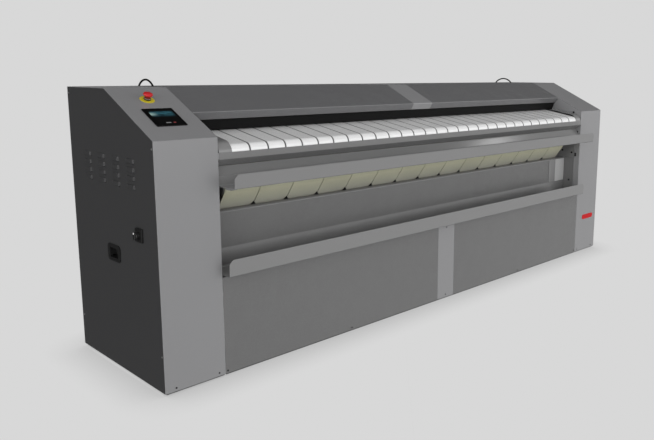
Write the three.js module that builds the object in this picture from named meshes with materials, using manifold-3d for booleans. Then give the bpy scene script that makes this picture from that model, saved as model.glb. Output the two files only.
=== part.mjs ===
// Rotary ironer: two end cabinets, a hood, feed bands over a nose, an upper trough,
// ironing bands round a heated cylinder, and a receiving tray. Millimetres, +Z up.
// X runs along the machine, the operator stands on the -Y side.

import * as THREE from "three";
import { mergeVertices } from "three/addons/utils/BufferGeometryUtils.js";
import Module from "manifold-3d";

const wasm = await Module();
wasm.setup();

// Overall sizes; the depth and the height are worked out from what the casing holds
const length = 3700;
const cabinetWidth = 296;
const slopeDepth = 424;
const slopeRise = 203;
const hoodRoom = 51.4;
const rearRoom = 51;
const footHeight = 12;

// Sheet metal, gaps and cuts
const sheet = 2;
const seam = 0.6;
const fitGap = 0.4;
const overrun = 5;
const flange = 20;
const backFold = 26;

// Hood
const hoodFront = 199;
const hoodLipBack = 23;
const hoodLipDrop = 36;
const hoodStripWidth = 170;

// Lower front
const lowerPanelDrop = 11;
const lowerPanelGround = 4;
const lowerStripWidth = 150;

// Feed bands and their two rollers; the feed height is that of the front roller's axis
const feedHeight = 1007;
const feedRun = 232;
const feedClimb = 41;
const feedRollerRadius = 31;
const feedBandThickness = 3;
const noseY = 38;
const feedBandCount = 30;
const feedBandInset = 70;
const bandGap = 5;
const bandWeb = 1;

// Roller tubes, their end discs and the shafts, which are bored right through
const shaftRadius = 12;
const shaftBore = 4;
const rollerWall = 4;
const rollerDisc = 10;

// Nose ends and upper trough, sizes of the sheet's inner line
const noseEndSetback = 18;
const noseEndDrop = 4;
const noseEndWrap = 23;
const noseEndShort = 48;
const noseBarY = 1;
const noseBarHeight = 30;
const undercutHeight = 31;
const troughWallY = 32;
const troughWallHeight = 85;
const troughFloorFront = 108;
const troughLipLean = 5;
const troughLipHeight = 63;
const troughEndPlay = 1;
const lipClip = 20;

// Receiving tray, sizes of the sheet's upper line
const trayFlangeSetback = 16;
const trayFlangeDrop = 108;
const trayFlangeReach = 27;
const trayFlangeFall = 12;
const traySheetHeight = 162;
const traySheetFootRise = 87;
const traySheetFootReach = 11;
const trayFloorFront = 49;
const trayLipLean = 3;
const trayLipHeight = 76;

// Finger guard
const guardSetback = 12;
const guardDrop = 5.28;
const guardSlant = 16;
const guardGap = 3.6;
const guardThickness = 3;
const guardPinRadius = 4;

// Heated cylinder
const cylinderRadius = 190;
const cylinderFeedGap = 30;
const cylinderDrop = 98;
const cylinderWall = 12;
const cylinderEndGap = 26;
const cylinderDisc = 16;
const journalRadius = 45;
const journalBore = 30;
const journalStub = 8;
const journalProud = 70;

// Heater bundle inside the cylinder
const heaterCore = 18;
const heaterRoom = 64;
const heaterRod = 7;
const heaterRodCount = 6;
const spiderMargin = 14;
const spiderThickness = 6;
const spiderInset = 48;
const terminalStart = 20;
const terminalLength = 40;

// Ironing bands and rollers
const ironRollerRadius = 41;
const ironBandThickness = 4;
const ironBandCount = 15;
const ironBandMargin = 6;
const nipAngle = 125;
const nipLead = 20;
const outfeedSetback = 98;
const outfeedDrop = 175;
const peelAngle = 54;
const peelRun = 300;
const lowerRollerReach = 48;
const lowerRollerDrop = 120;
const upperRollerReach = 42;
const ironRollerEndGap = 41;

// Scraper comb
const combHeight = 25;
const combStem = 20;
const combPoint = 22;
const combPointWidth = 29;
const combThickness = 2;
const combStandoff = 1.2;

// Frame
const framePlate = 10;
const frameTopDrop = 35;
const frameBendShift = 10;
const frameBoss = 10;
const frameFront = 192;
const frameBackInset = 28;
const railHeight = 60;
const railWidth = 40;
const railBottom = 20;
const railFrontY = 80;
const railBackInset = 70;
const railWall = 3;
const railEndInset = 40;
const footRadius = 30;
const footPad = 8;
const footStemRadius = 8;
const footInset = 100;
const bearingRadius = 85;
const bearingThickness = 26;
const bearingGap = 1.6;
const bearingFlange = 13;
const bearingBoss = 65;
const journalClearance = 5;

// End brackets
const bracketPlate = 4;
const bracketForward = 95;
const bracketRearward = 49;
const bracketRise = 40;
const bracketStepDrop = 102;
const bracketTailDrop = 144;
const postForward = 90;
const postWidth = 77;
const postGround = 5;

// Drive
const sprocketThickness = 8;
const sprocketStandoff = 22;
const feedSprocketRadius = 24;
const chainWidth = 6;
const chainThickness = 8;
const sprocketTeethLarge = 50;
const sprocketTeethSmall = 9;
const toothDepth = 3;
const gearboxGap = 34;
const gearboxThickness = 126;
const gearboxReach = 92;
const gearboxRise = 105;
const motorRadius = 68;
const motorDrop = 290;
const terminalHalf = 41;
const terminalReach = 95;
const terminalTop = 87;
const terminalBottom = 203;

// Exhaust fan
const fanSetback = 70;
const fanDrop = 390;
const fanRadius = 140;
const fanStandoff = 48;
const fanWidth = 120;
const fanWall = 3;
const fanInletRadius = 70;
const impellerRadius = 105;
const impellerHub = 42;
const impellerGap = 6;
const hubStart = 26;
const bladeInner = 50;
const bladeOuter = 103;
const fanBossRadius = 30;
const impellerBlades = 10;
const bladeThickness = 4;
const spigotRadius = 60;
const spigotReach = 40;
const spigotRise = 70;

// Control box
const boxWidth = 210;
const boxFront = 50;
const boxDepth = 240;
const boxBottom = 140;
const boxHeight = 450;
const boxWall = 3;
const glandRadius = 20;

// Touch screen, places measured along the slope
const screenX = 148;
const screenAlong = 191;
const screenWidth = 134;
const screenLength = 158;
const screenBezel = 5;
const screenBodyDepth = 34;
const screenRim = 12;

// Emergency stop
const stopX = 145;
const stopScreenGap = 81;
const stopDiscRadius = 32.5;
const stopDiscThickness = 1.6;
const stopCollarRadius = 19;
const stopCollarHeight = 9;
const stopBarrelRadius = 11;
const stopBarrelDepth = 40;
const stopStemRadius = 6;
const stopHeadRadius = 20.5;
const stopHeadHeight = 16;
const stopTravel = 6;
const stopStemInset = 11;

// Mains isolator
const isolatorY = 154;
const isolatorDrop = 409;
const isolatorWidth = 60;
const isolatorHeight = 60;
const isolatorPlate = 8;
const isolatorBlock = 40;
const isolatorBlockGap = 2;
const isolatorNeck = 11;
const knobRadius = 17;
const knobDepth = 20;
const knobGrip = 10;
const knobDiscDepth = 8;
const isolatorBlockHalf = 24;
const isolatorSpindle = 5.5;
const isolatorSpindleDepth = 20;

// Recessed pull handle
const handleY = 411;
const handleZ = 544;
const handleWidth = 122;
const handleHeight = 78;
const cupWidth = 76;
const cupHeight = 44;
const cupDepth = 26;
const handleRim = 3;

// Louvres of the side panels
const louvreFirstY = 209;
const louvrePitchY = 141;
const louvreColumns = 4;
const louvreTopDrop = 90.2;
const louvrePitchZ = 36.6;
const louvreRows = 4;
const louvreLength = 74;
const louvreOpening = 9;
const louvreHood = 6;
const louvreRise = 4;
const louvreDrop = 2;

// Lifting hoops
const hoopInset = 132;
const hoopHalfSpan = 73;
const hoopRise = 34;
const hoopRod = 4.75;

// Red plate
const plateX = 127.5;
const plateZ = 258.5;
const plateWidth = 160;
const plateHeight = 42;

// Places along the machine
const half = length / 2;
const wallX = half - cabinetWidth;
const frameX = wallX - bearingGap - bearingThickness - fitGap - framePlate / 2;
const cylinderHalf = frameX - framePlate / 2 - cylinderEndGap;
const ironRollerHalf = frameX - framePlate / 2 - ironRollerEndGap;
const sprocketX = -wallX - sprocketStandoff;
const gearTo = sprocketX - sprocketThickness / 2 - gearboxGap;
const gearFrom = gearTo - gearboxThickness;
const journalLeft = -gearFrom + journalStub;
const journalRight = wallX + journalProud;
const fanInner = wallX + fanStandoff;
const fanOuter = fanInner + fanWidth;

// Places of the feed bands, the trough and the tray
const noseZ = feedHeight;
const rearFeedY = noseY + feedRun;
const rearFeedZ = noseZ + feedClimb;
const noseEndY = noseY + noseEndSetback;
const noseEndZ = noseZ - noseEndDrop;
const noseEndRadius = feedRollerRadius + noseEndWrap;
const noseEndRear = rearFeedY - noseEndShort;
const noseBarBottom = noseZ - noseBarHeight;
const undercutZ = noseBarBottom - undercutHeight;
const troughFloorZ = undercutZ - troughWallHeight;
const troughLipFront = troughFloorFront + troughLipLean;
const troughLipTop = troughFloorZ + troughLipHeight;
const outfeedY = noseY + outfeedSetback;
const outfeedZ = noseZ - outfeedDrop;
const trayFlangeY = outfeedY + trayFlangeSetback;
const trayFlangeZ = outfeedZ - trayFlangeDrop;
const traySheetY = trayFlangeY - trayFlangeReach;
const traySheetTop = trayFlangeZ - trayFlangeFall;
const traySheetBend = traySheetTop - traySheetHeight;
const traySheetFootY = traySheetY - traySheetFootReach;
const trayFloorZ = traySheetBend - traySheetFootRise;
const trayLipFront = trayFloorFront + trayLipLean;
const trayLipTop = trayFloorZ + trayLipHeight;
const lowerPanelTop = trayFloorZ - lowerPanelDrop;

// Places of the heated cylinder and the ironing rollers
const cylinderY = rearFeedY + cylinderRadius + cylinderFeedGap;
const cylinderZ = rearFeedZ - cylinderDrop;
const ironReach = cylinderRadius + ironBandThickness + ironRollerRadius + 2 * fitGap;
const nip = (nipAngle * Math.PI) / 180;
const peel = (peelAngle * Math.PI) / 180;
const nipRollerY = cylinderY + ironReach * Math.cos(nip) - nipLead * Math.sin(nip);
const nipRollerZ = cylinderZ + ironReach * Math.sin(nip) + nipLead * Math.cos(nip);
const turnRollerY = outfeedY + peelRun * Math.cos(peel);
const turnRollerZ = outfeedZ - peelRun * Math.sin(peel);
const lowerRollerY = cylinderY + cylinderRadius + lowerRollerReach;
const lowerRollerZ = cylinderZ - cylinderRadius - lowerRollerDrop;
const upperRollerY = cylinderY + cylinderRadius + upperRollerReach;
const upperRollerZ = cylinderZ + cylinderRadius;
const ironRollers = [
  { name: "nip", y: nipRollerY, z: nipRollerZ },
  { name: "outfeed", y: outfeedY, z: outfeedZ },
  { name: "turn", y: turnRollerY, z: turnRollerZ },
  { name: "rear_lower", y: lowerRollerY, z: lowerRollerZ },
  { name: "rear_upper", y: upperRollerY, z: upperRollerZ },
];

// Outline of the casing: the slope passes over the nip roller with its room
const slopeLength = Math.hypot(slopeDepth, slopeRise);
const slopeCos = slopeDepth / slopeLength;
const slopeSin = slopeRise / slopeLength;
const nipOuter = ironRollerRadius + fitGap + ironBandThickness;
const slopeOverNip = ((slopeDepth - nipRollerY) * slopeRise) / slopeDepth;
const height = nipRollerZ + (nipOuter + hoodRoom) / slopeCos + slopeOverNip;
const frontHeight = height - slopeRise;
const depth = lowerRollerY + ironRollerRadius + rearRoom;
const frameBack = depth - frameBackInset;
const railBackY = depth - railBackInset;
const hoopY = depth - hoopInset;
const fanY = cylinderY + fanSetback;
const fanZ = cylinderZ - fanDrop;
const machineFront = -troughLipFront - sheet;
const machineBack = depth + spigotReach;
const machineLeft = -half - fitGap - isolatorPlate - fitGap - knobDepth;
const machineRight = half + louvreHood;

// Places of the finger guard: hinge behind the hood's lip, edge just over the feed bands
const feedRise = Math.atan2(feedClimb, feedRun);
const guardHingeY = hoodFront + hoodLipBack + guardSetback;
const guardHingeZ = slopeAt(hoodFront) - hoodLipDrop - guardDrop;
const guardEdgeY = guardHingeY + guardSlant;
const bandRise = (feedRollerRadius + fitGap + feedBandThickness) / Math.cos(feedRise);
const guardEdgeZ = noseZ + bandRise + (guardEdgeY - noseY) * Math.tan(feedRise) + guardGap;

// Places of the controls and the small fittings
const boxBack = boxFront + boxDepth;
const boxTop = boxBottom + boxHeight;
const stopAlong = screenAlong + screenLength / 2 + stopScreenGap;
const isolatorZ = frontHeight - isolatorDrop;
const louvreTopZ = frontHeight - louvreTopDrop;
const bracketFront = outfeedY - bracketForward;
const bracketBack = outfeedY + bracketRearward;
const bracketTop = outfeedZ + bracketRise;
const bracketStep = outfeedZ - bracketStepDrop;
const bracketTail = outfeedZ - bracketTailDrop;
const postFront = outfeedY - postForward;
const postBack = postFront + postWidth;
const postBottom = trayFloorZ + postGround;
const heaterCircle = cylinderRadius - cylinderWall - heaterRoom;
const spiderRadius = heaterCircle + spiderMargin;

// Fineness of round shapes
const noseTurnUnder = Math.PI / 10;
const feedStep = Math.PI / 8;
const ironStep = Math.PI / 13;
const chainStep = Math.PI / 10;
const mergeWithin = 1e-5;
const quarterTurn = Math.PI / 2;

function slopeAt(y) {
  return frontHeight + (slopeRise * y) / slopeDepth;
}

// Solids from three.js geometry
function solid(geometry) {
  const bare = geometry.clone();
  bare.deleteAttribute("normal");
  bare.deleteAttribute("uv");
  const merged = mergeVertices(bare, mergeWithin);
  const vertProperties = new Float32Array(merged.attributes.position.array);
  const triVerts = new Uint32Array(merged.index.array);
  return new wasm.Manifold(new wasm.Mesh({ numProp: 3, vertProperties, triVerts }));
}

function surface(body) {
  const raw = body.getMesh();
  const geometry = new THREE.BufferGeometry();
  const stride = raw.numProp;
  const count = raw.vertProperties.length / stride;
  const positions = new Float32Array(count * 3);
  for (let i = 0; i < count; i += 1) {
    positions[i * 3] = raw.vertProperties[i * stride];
    positions[i * 3 + 1] = raw.vertProperties[i * stride + 1];
    positions[i * 3 + 2] = raw.vertProperties[i * stride + 2];
  }
  geometry.setAttribute("position", new THREE.BufferAttribute(positions, 3));
  geometry.setIndex(new THREE.BufferAttribute(new Uint32Array(raw.triVerts), 1));
  geometry.computeVertexNormals();
  return geometry;
}

function join(bodies) {
  return bodies.reduce((whole, body) => whole.add(body));
}

function cut(body, cutters) {
  return cutters.reduce((whole, cutter) => whole.subtract(cutter), body);
}

function box(x0, x1, y0, y1, z0, z1) {
  const geometry = new THREE.BoxGeometry(Math.abs(x1 - x0), Math.abs(y1 - y0), Math.abs(z1 - z0));
  geometry.translate((x0 + x1) / 2, (y0 + y1) / 2, (z0 + z1) / 2);
  return solid(geometry);
}

// A prism along X from an outline of [y, z] points
const alongX = new THREE.Matrix4().set(0, 0, 1, 0, 1, 0, 0, 0, 0, 1, 0, 0, 0, 0, 0, 1);

function outlineShape(points) {
  return new THREE.Shape(points.map(([a, b]) => new THREE.Vector2(a, b)));
}

function prismX(points, x0, x1, holes = []) {
  const shape = outlineShape(points);
  shape.holes = holes.map((hole) => new THREE.Path(hole.map(([a, b]) => new THREE.Vector2(a, b))));
  const low = Math.min(x0, x1);
  const geometry = new THREE.ExtrudeGeometry(shape, { depth: Math.abs(x1 - x0), bevelEnabled: false });
  geometry.applyMatrix4(alongX);
  geometry.translate(low, 0, 0);
  return solid(geometry);
}

// A prism along Y from an outline of [x, z] points
const alongY = new THREE.Matrix4().set(1, 0, 0, 0, 0, 0, -1, 0, 0, 1, 0, 0, 0, 0, 0, 1);

function prismY(points, y0, y1) {
  const depthY = Math.abs(y1 - y0);
  const geometry = new THREE.ExtrudeGeometry(outlineShape(points), { depth: depthY, bevelEnabled: false });
  geometry.applyMatrix4(alongY);
  geometry.translate(0, Math.max(y0, y1), 0);
  return solid(geometry);
}

function rodX(y, z, radius, x0, x1, sides = 20) {
  const geometry = new THREE.CylinderGeometry(radius, radius, Math.abs(x1 - x0), sides);
  geometry.rotateZ(quarterTurn);
  geometry.translate((x0 + x1) / 2, y, z);
  return solid(geometry);
}

function rodY(x, z, radius, y0, y1, sides = 28) {
  const geometry = new THREE.CylinderGeometry(radius, radius, Math.abs(y1 - y0), sides);
  geometry.translate(x, (y0 + y1) / 2, z);
  return solid(geometry);
}

function rodZ(x, y, radius, z0, z1, sides = 16) {
  const geometry = new THREE.CylinderGeometry(radius, radius, Math.abs(z1 - z0), sides);
  geometry.rotateX(quarterTurn);
  geometry.translate(x, y, (z0 + z1) / 2);
  return solid(geometry);
}

// A turned body about the X axis, profile of [radius, x] points from axis to axis or closed
function turnedX(profile, y, z, sides = 32) {
  const points = profile.map(([r, x]) => new THREE.Vector2(r, x));
  const geometry = new THREE.LatheGeometry(points, sides);
  geometry.rotateZ(-quarterTurn);
  geometry.translate(0, y, z);
  return solid(geometry);
}

// A bent sheet: a line of [y, z] points thickened to the left of its direction
function thickened(points, thickness) {
  const offset = points.map((point, i) => {
    const before = points[Math.max(i - 1, 0)];
    const after = points[Math.min(i + 1, points.length - 1)];
    const a = new THREE.Vector2(point[0] - before[0], point[1] - before[1]);
    const b = new THREE.Vector2(after[0] - point[0], after[1] - point[1]);
    const first = a.lengthSq() === 0 ? b.clone() : a;
    const second = b.lengthSq() === 0 ? a.clone() : b;
    const n1 = new THREE.Vector2(-first.y, first.x).normalize();
    const n2 = new THREE.Vector2(-second.y, second.x).normalize();
    const mitre = n1.clone().add(n2).normalize();
    const reach = thickness / mitre.dot(n1);
    return [point[0] + mitre.x * reach, point[1] + mitre.y * reach];
  });
  return [...points, ...offset.reverse()];
}

function bentSheet(points, x0, x1) {
  return prismX(thickened(points, sheet), x0, x1);
}

// A closed belt line round circles; a circle with turn 1 lies inside the loop, with -1 outside it
function beltLine(circles, offset, step) {
  const rho = circles.map((c) => c.turn * (c.radius + c.turn * offset));
  const leave = circles.map((c, i) => {
    const j = (i + 1) % circles.length;
    const dy = circles[j].y - c.y;
    const dz = circles[j].z - c.z;
    return Math.atan2(dz, dy) - Math.asin((rho[j] - rho[i]) / Math.hypot(dy, dz));
  });
  const line = [];
  circles.forEach((c, i) => {
    const arrive = leave[(i + circles.length - 1) % circles.length];
    let sweep = leave[i] - arrive;
    while (sweep * c.turn < 0) {
      sweep += c.turn * Math.PI * 2;
    }
    while (sweep * c.turn > Math.PI * 2) {
      sweep -= c.turn * Math.PI * 2;
    }
    const parts = Math.max(2, Math.ceil(Math.abs(sweep) / (c.turn < 0 ? step / 2 : step)));
    const reach = rho[i] / Math.cos(sweep / parts / 2);
    for (let k = 0; k <= parts; k += 1) {
      const heading = arrive + (sweep * k) / parts;
      line.push([c.y + reach * Math.sin(heading), c.z - reach * Math.cos(heading)]);
    }
  });
  return line;
}

// A closed tube swept along points, with capped ends
function swept(points, radius, sides) {
  const path = new THREE.CatmullRomCurve3(points, false, "centripetal");
  const ring = [];
  for (let k = 0; k < sides; k += 1) {
    const angle = (k / sides) * Math.PI * 2;
    ring.push(new THREE.Vector2(radius * Math.cos(angle), radius * Math.sin(angle)));
  }
  const steps = points.length - 1;
  return solid(new THREE.ExtrudeGeometry(new THREE.Shape(ring), { steps, extrudePath: path }));
}

// The cabinet outline drawn in by a distance, as [y, z] points from the front foot round
function outline(inset, bottom) {
  const drop = inset / slopeCos;
  const bendY = ((height - inset + drop - frontHeight) * slopeDepth) / slopeRise;
  return [
    [inset, bottom],
    [depth - inset, bottom],
    [depth - inset, height - inset],
    [bendY, height - inset],
    [inset, slopeAt(inset) - drop],
  ];
}

const machine = new THREE.Group();
machine.position.set(-(machineLeft + machineRight) / 2, -(machineFront + machineBack) / 2, footHeight);

function part(name, body, color, roughness, metalness) {
  const material = new THREE.MeshStandardMaterial({ color, roughness, metalness });
  const mesh = new THREE.Mesh(surface(body), material);
  mesh.name = name;
  machine.add(mesh);
  return mesh;
}

// Paints and metals
const darkPaint = 0x3a3a3c;
const greyPaint = 0x8b8b8d;
const hoodPaint = 0x5c5c5e;
const panelPaint = 0x707072;
const blackPlastic = 0x1a1a1a;
const bareSteel = 0xa8a8a8;
const framePaint = 0x4a4a4d;
const rubberBlack = 0x202020;
const sprocketSteel = 0x77787a;
const white = 0xf2f2f0;
const cream = 0xc9c7a8;

// Side panels with louvres
function louvreCuts(side) {
  const cuts = [];
  const hoods = [];
  for (let column = 0; column < louvreColumns; column += 1) {
    for (let row = 0; row < louvreRows; row += 1) {
      const y = louvreFirstY + column * louvrePitchY;
      const z = louvreTopZ - row * louvrePitchZ;
      const y0 = y - louvreLength / 2;
      const y1 = y + louvreLength / 2;
      const inner = side * (half - sheet - overrun);
      const outer = side * (half + overrun);
      cuts.push(box(inner, outer, y0, y1, z - louvreOpening / 2, z + louvreOpening / 2));
      const wedge = [
        [side * (half - sheet), z + louvreOpening / 2 + louvreRise],
        [side * (half - sheet), z + louvreOpening / 2],
        [side * (half + louvreHood - sheet), z - louvreDrop],
        [side * (half + louvreHood), z - louvreDrop],
        [side * half, z + louvreOpening / 2 + louvreRise],
      ];
      const ordered = side > 0 ? wedge : [...wedge].reverse();
      hoods.push(prismY(ordered, y0 - fitGap, y1 + fitGap));
    }
  }
  return { cuts, hoods };
}

function sidePanel(side) {
  const inset = sheet + seam;
  const louvres = louvreCuts(side);
  const plate = prismX(outline(inset, 0), side * (half - sheet), side * half);
  return join([cut(plate, louvres.cuts), ...louvres.hoods]);
}

const isolatorCut = rodX(isolatorY, isolatorZ, isolatorNeck + fitGap, -half - overrun, -half + isolatorBlock);
const handleCut = box(
  -half - overrun,
  -half + cupDepth + overrun,
  handleY - cupWidth / 2 - handleRim - fitGap,
  handleY + cupWidth / 2 + handleRim + fitGap,
  handleZ - cupHeight / 2 - handleRim - fitGap,
  handleZ + cupHeight / 2 + handleRim + fitGap,
);
part("side_panel_left", cut(sidePanel(-1), [isolatorCut, handleCut]), darkPaint, 0.45, 0.3);
part("side_panel_right", sidePanel(1), darkPaint, 0.45, 0.3);

// Front covers with return flanges
function frontCover(side) {
  const top = frontHeight - seam;
  const face = box(side * wallX, side * half, 0, sheet, 0, top);
  const outerAt = half - sheet - seam;
  const innerAt = wallX + sheet + seam;
  const outerFlange = box(side * (outerAt - sheet), side * outerAt, sheet / 2, flange, sheet, top - flange);
  const innerFlange = box(side * innerAt, side * (innerAt + sheet), sheet / 2, flange, sheet, top - flange);
  return join([face, outerFlange, innerFlange]);
}
part("front_cover_left", frontCover(-1), greyPaint, 0.4, 0.35);
part("front_cover_right", frontCover(1), greyPaint, 0.4, 0.35);

// Top covers: slope, flat top and a fold down the back
const coverStart = sheet + seam;
const coverLine = [
  [depth, height - backFold],
  [depth, height],
  [slopeDepth, height],
  [coverStart * slopeCos, slopeAt(coverStart * slopeCos)],
];

const onSlope = new THREE.Matrix4().set(
  1, 0, 0, 0,
  0, slopeCos, -slopeSin, 0,
  0, slopeSin, slopeCos, frontHeight,
  0, 0, 0, 1,
);

function slopeBox(x0, x1, v0, v1, n0, n1) {
  const geometry = new THREE.BoxGeometry(x1 - x0, v1 - v0, n1 - n0);
  geometry.translate((x0 + x1) / 2, (v0 + v1) / 2, (n0 + n1) / 2);
  return solid(geometry.applyMatrix4(onSlope));
}

// A turned body standing on the slope, profile of [radius, height] points
function slopeTurned(profile, x, v, sides = 24) {
  const geometry = new THREE.LatheGeometry(profile.map(([r, n]) => new THREE.Vector2(r, n)), sides);
  geometry.rotateX(quarterTurn);
  geometry.translate(x, v, 0);
  return solid(geometry.applyMatrix4(onSlope));
}

const screenAt = -half + screenX;
const stopAt = -half + stopX;
const screenCut = slopeBox(
  screenAt - screenWidth / 2 + screenRim,
  screenAt + screenWidth / 2 - screenRim,
  screenAlong - screenLength / 2 + screenRim,
  screenAlong + screenLength / 2 - screenRim,
  -screenBodyDepth,
  overrun,
);
const stopCutProfile = [
  [0, -stopBarrelDepth],
  [stopBarrelRadius + fitGap, -stopBarrelDepth],
  [stopBarrelRadius + fitGap, overrun],
  [0, overrun],
];
const coverLeft = bentSheet(coverLine, -half, -wallX);
const coverRight = bentSheet(coverLine, wallX, half);
const stopCut = slopeTurned(stopCutProfile, stopAt, stopAlong);
part("top_cover_left", cut(coverLeft, [screenCut, stopCut]), greyPaint, 0.4, 0.35);
part("top_cover_right", coverRight, greyPaint, 0.4, 0.35);

// Inner end walls facing the working space
const wallBottom = railBottom + railHeight + seam;
const journalHole = journalRadius + journalClearance;
function innerWall(side) {
  const plate = prismX(outline(sheet + seam, wallBottom), side * wallX, side * (wallX + sheet));
  const from = side * (wallX - overrun);
  const to = side * (wallX + sheet + overrun);
  const pinHole = rodX(guardHingeY, guardHingeZ, guardPinRadius + fitGap, from, to, 16);
  const shaftHole = rodX(rearFeedY, rearFeedZ, shaftRadius + journalClearance, from, to);
  const journal = rodX(cylinderY, cylinderZ, journalHole, from, to);
  const suction = rodX(fanY, fanZ, fanInletRadius + sheet + journalClearance / 2, from, to, 24);
  return cut(plate, side < 0 ? [pinHole, shaftHole, journal] : [pinHole, journal, suction]);
}
part("inner_wall_left", innerWall(-1), greyPaint, 0.4, 0.35);
part("inner_wall_right", innerWall(1), greyPaint, 0.4, 0.35);

// Back covers
const backTop = height - backFold - seam;
const spigotAt = (fanInner + fanOuter) / 2;
const spigotZ = fanZ + spigotRise;
const spigotHole = rodY(spigotAt, spigotZ, spigotRadius + seam, depth - sheet - overrun, depth + overrun);
const backRight = box(wallX, half, depth - sheet, depth, 0, backTop);
part("back_cover_left", box(-half, -wallX, depth - sheet, depth, 0, backTop), darkPaint, 0.45, 0.3);
part("back_cover_right", cut(backRight, [spigotHole]), darkPaint, 0.45, 0.3);
const backEdge = wallX - seam;
part("back_panel", box(-backEdge, backEdge, depth - sheet, depth, wallBottom, backTop), darkPaint, 0.45, 0.3);

// Hood in two panels with a strip between them
const hoodLine = [
  [depth, height - backFold],
  [depth, height],
  [slopeDepth, height],
  [hoodFront, slopeAt(hoodFront)],
  [hoodFront + hoodLipBack, slopeAt(hoodFront) - hoodLipDrop],
];
const hoopCuts = (side) => [hoopY - hoopHalfSpan, hoopY + hoopHalfSpan].map((y) =>
  rodZ(side * frameX, y, hoopRod + seam, height - sheet - overrun, height + overrun, 16),
);
const hoodStripEdge = hoodStripWidth / 2;
const hoodLeft = bentSheet(hoodLine, -wallX + seam, -hoodStripEdge - seam);
const hoodRight = bentSheet(hoodLine, hoodStripEdge + seam, wallX - seam);
part("hood_left", cut(hoodLeft, hoopCuts(-1)), hoodPaint, 0.45, 0.3);
part("hood_right", cut(hoodRight, hoopCuts(1)), hoodPaint, 0.45, 0.3);
part("hood_strip", bentSheet(hoodLine, -hoodStripEdge, hoodStripEdge), greyPaint, 0.4, 0.35);

// Lower front panels with a strip between them
const lowerStripEdge = lowerStripWidth / 2;
function lowerPanel(side) {
  const outer = side * (wallX - seam);
  const inner = side * (lowerStripEdge + seam);
  const face = box(inner, outer, 0, sheet, lowerPanelGround, lowerPanelTop);
  const lap = box(inner, outer, sheet / 2, flange, lowerPanelTop - sheet, lowerPanelTop);
  return join([face, lap]);
}
part("front_panel_left", lowerPanel(-1), panelPaint, 0.45, 0.3);
part("front_panel_right", lowerPanel(1), panelPaint, 0.45, 0.3);
const stripFace = box(-lowerStripEdge, lowerStripEdge, 0, sheet, lowerPanelGround, lowerPanelTop);
const stripLapBottom = lowerPanelTop - sheet;
const stripLap = box(-lowerStripEdge, lowerStripEdge, sheet / 2, flange, stripLapBottom, lowerPanelTop);
part("front_strip", join([stripFace, stripLap]), greyPaint, 0.4, 0.35);

// A lip with clipped upper corners: two corner prisms taken off its ends
function lipCuts(edgeX, front, top) {
  return [-1, 1].map((side) => {
    const corner = [
      [side * (edgeX - lipClip), top + overrun],
      [side * (edgeX - lipClip), top],
      [side * edgeX, top - lipClip],
      [side * (edgeX + overrun), top - lipClip],
      [side * (edgeX + overrun), top + overrun],
    ];
    const ordered = side > 0 ? corner : [...corner].reverse();
    return prismY(ordered, -front - sheet - overrun, -front + overrun);
  });
}

// Feed trough: nose bar, undercut, wall, floor and lip, with a rounded nose at each end
const troughLine = [
  [-noseBarY, noseZ],
  [-noseBarY, noseBarBottom],
  [troughWallY, undercutZ],
  [troughWallY, troughFloorZ],
  [-troughFloorFront, troughFloorZ],
  [-troughLipFront, troughLipTop],
];
const trayEdge = wallX - seam - bracketPlate - fitGap;
const troughEdge = trayEdge - troughEndPlay;
const troughSheet = bentSheet(troughLine, -troughEdge, troughEdge);
const noseEndLine = [];
const noseEndClimb = (noseEndRear - noseEndY) * Math.tan(feedRise);
const noseEndTop = noseEndZ + noseEndRadius / Math.cos(feedRise) + noseEndClimb;
const noseTurn = quarterTurn + feedRise;
const noseSteps = 8;
noseEndLine.push([noseEndRear, noseEndTop]);
for (let i = 0; i <= noseSteps; i += 1) {
  const angle = noseTurn + ((Math.PI + noseTurnUnder - noseTurn) * i) / noseSteps;
  const across = noseEndRadius * Math.cos(angle);
  noseEndLine.push([noseEndY + across, noseEndZ + noseEndRadius * Math.sin(angle)]);
}
const noseBandEdge = wallX - feedBandInset;
const noseEnds = [-1, 1].map((side) => bentSheet(noseEndLine, side * noseBandEdge, side * (wallX - seam)));
const tieBack = -noseBarY + sheet + feedBandThickness;
const noseTies = [-1, 1].map((side) =>
  box(side * noseBandEdge, side * (wallX - seam), -noseBarY, tieBack, noseBarBottom + sheet, noseZ),
);
const troughCut = cut(troughSheet, lipCuts(troughEdge, troughLipFront, troughLipTop));
part("feed_trough", join([troughCut, ...noseEnds, ...noseTies]), greyPaint, 0.35, 0.4);

// Receiving tray: flange, upright sheet, floor and lip
const trayLine = [
  [trayFlangeY, trayFlangeZ],
  [traySheetY, traySheetTop],
  [traySheetY, traySheetBend],
  [traySheetFootY, trayFloorZ],
  [-trayFloorFront, trayFloorZ],
  [-trayLipFront, trayLipTop],
];
const traySheet = bentSheet(trayLine, -trayEdge, trayEdge);
part("receiving_tray", cut(traySheet, lipCuts(trayEdge, trayLipFront, trayLipTop)), greyPaint, 0.3, 0.4);

// Finger guard with its two pivot pins
const guardEdge = wallX - seam * 2;
const guardLine = [
  [guardHingeY, guardHingeZ],
  [guardEdgeY, guardEdgeZ],
];
const guardPlate = prismX(thickened(guardLine, guardThickness), -guardEdge, guardEdge);
const guardRod = rodX(guardHingeY, guardHingeZ, guardPinRadius, -wallX - sheet, wallX + sheet, 16);
part("finger_guard", join([guardPlate, guardRod]), blackPlastic, 0.5, 0.1);

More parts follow.
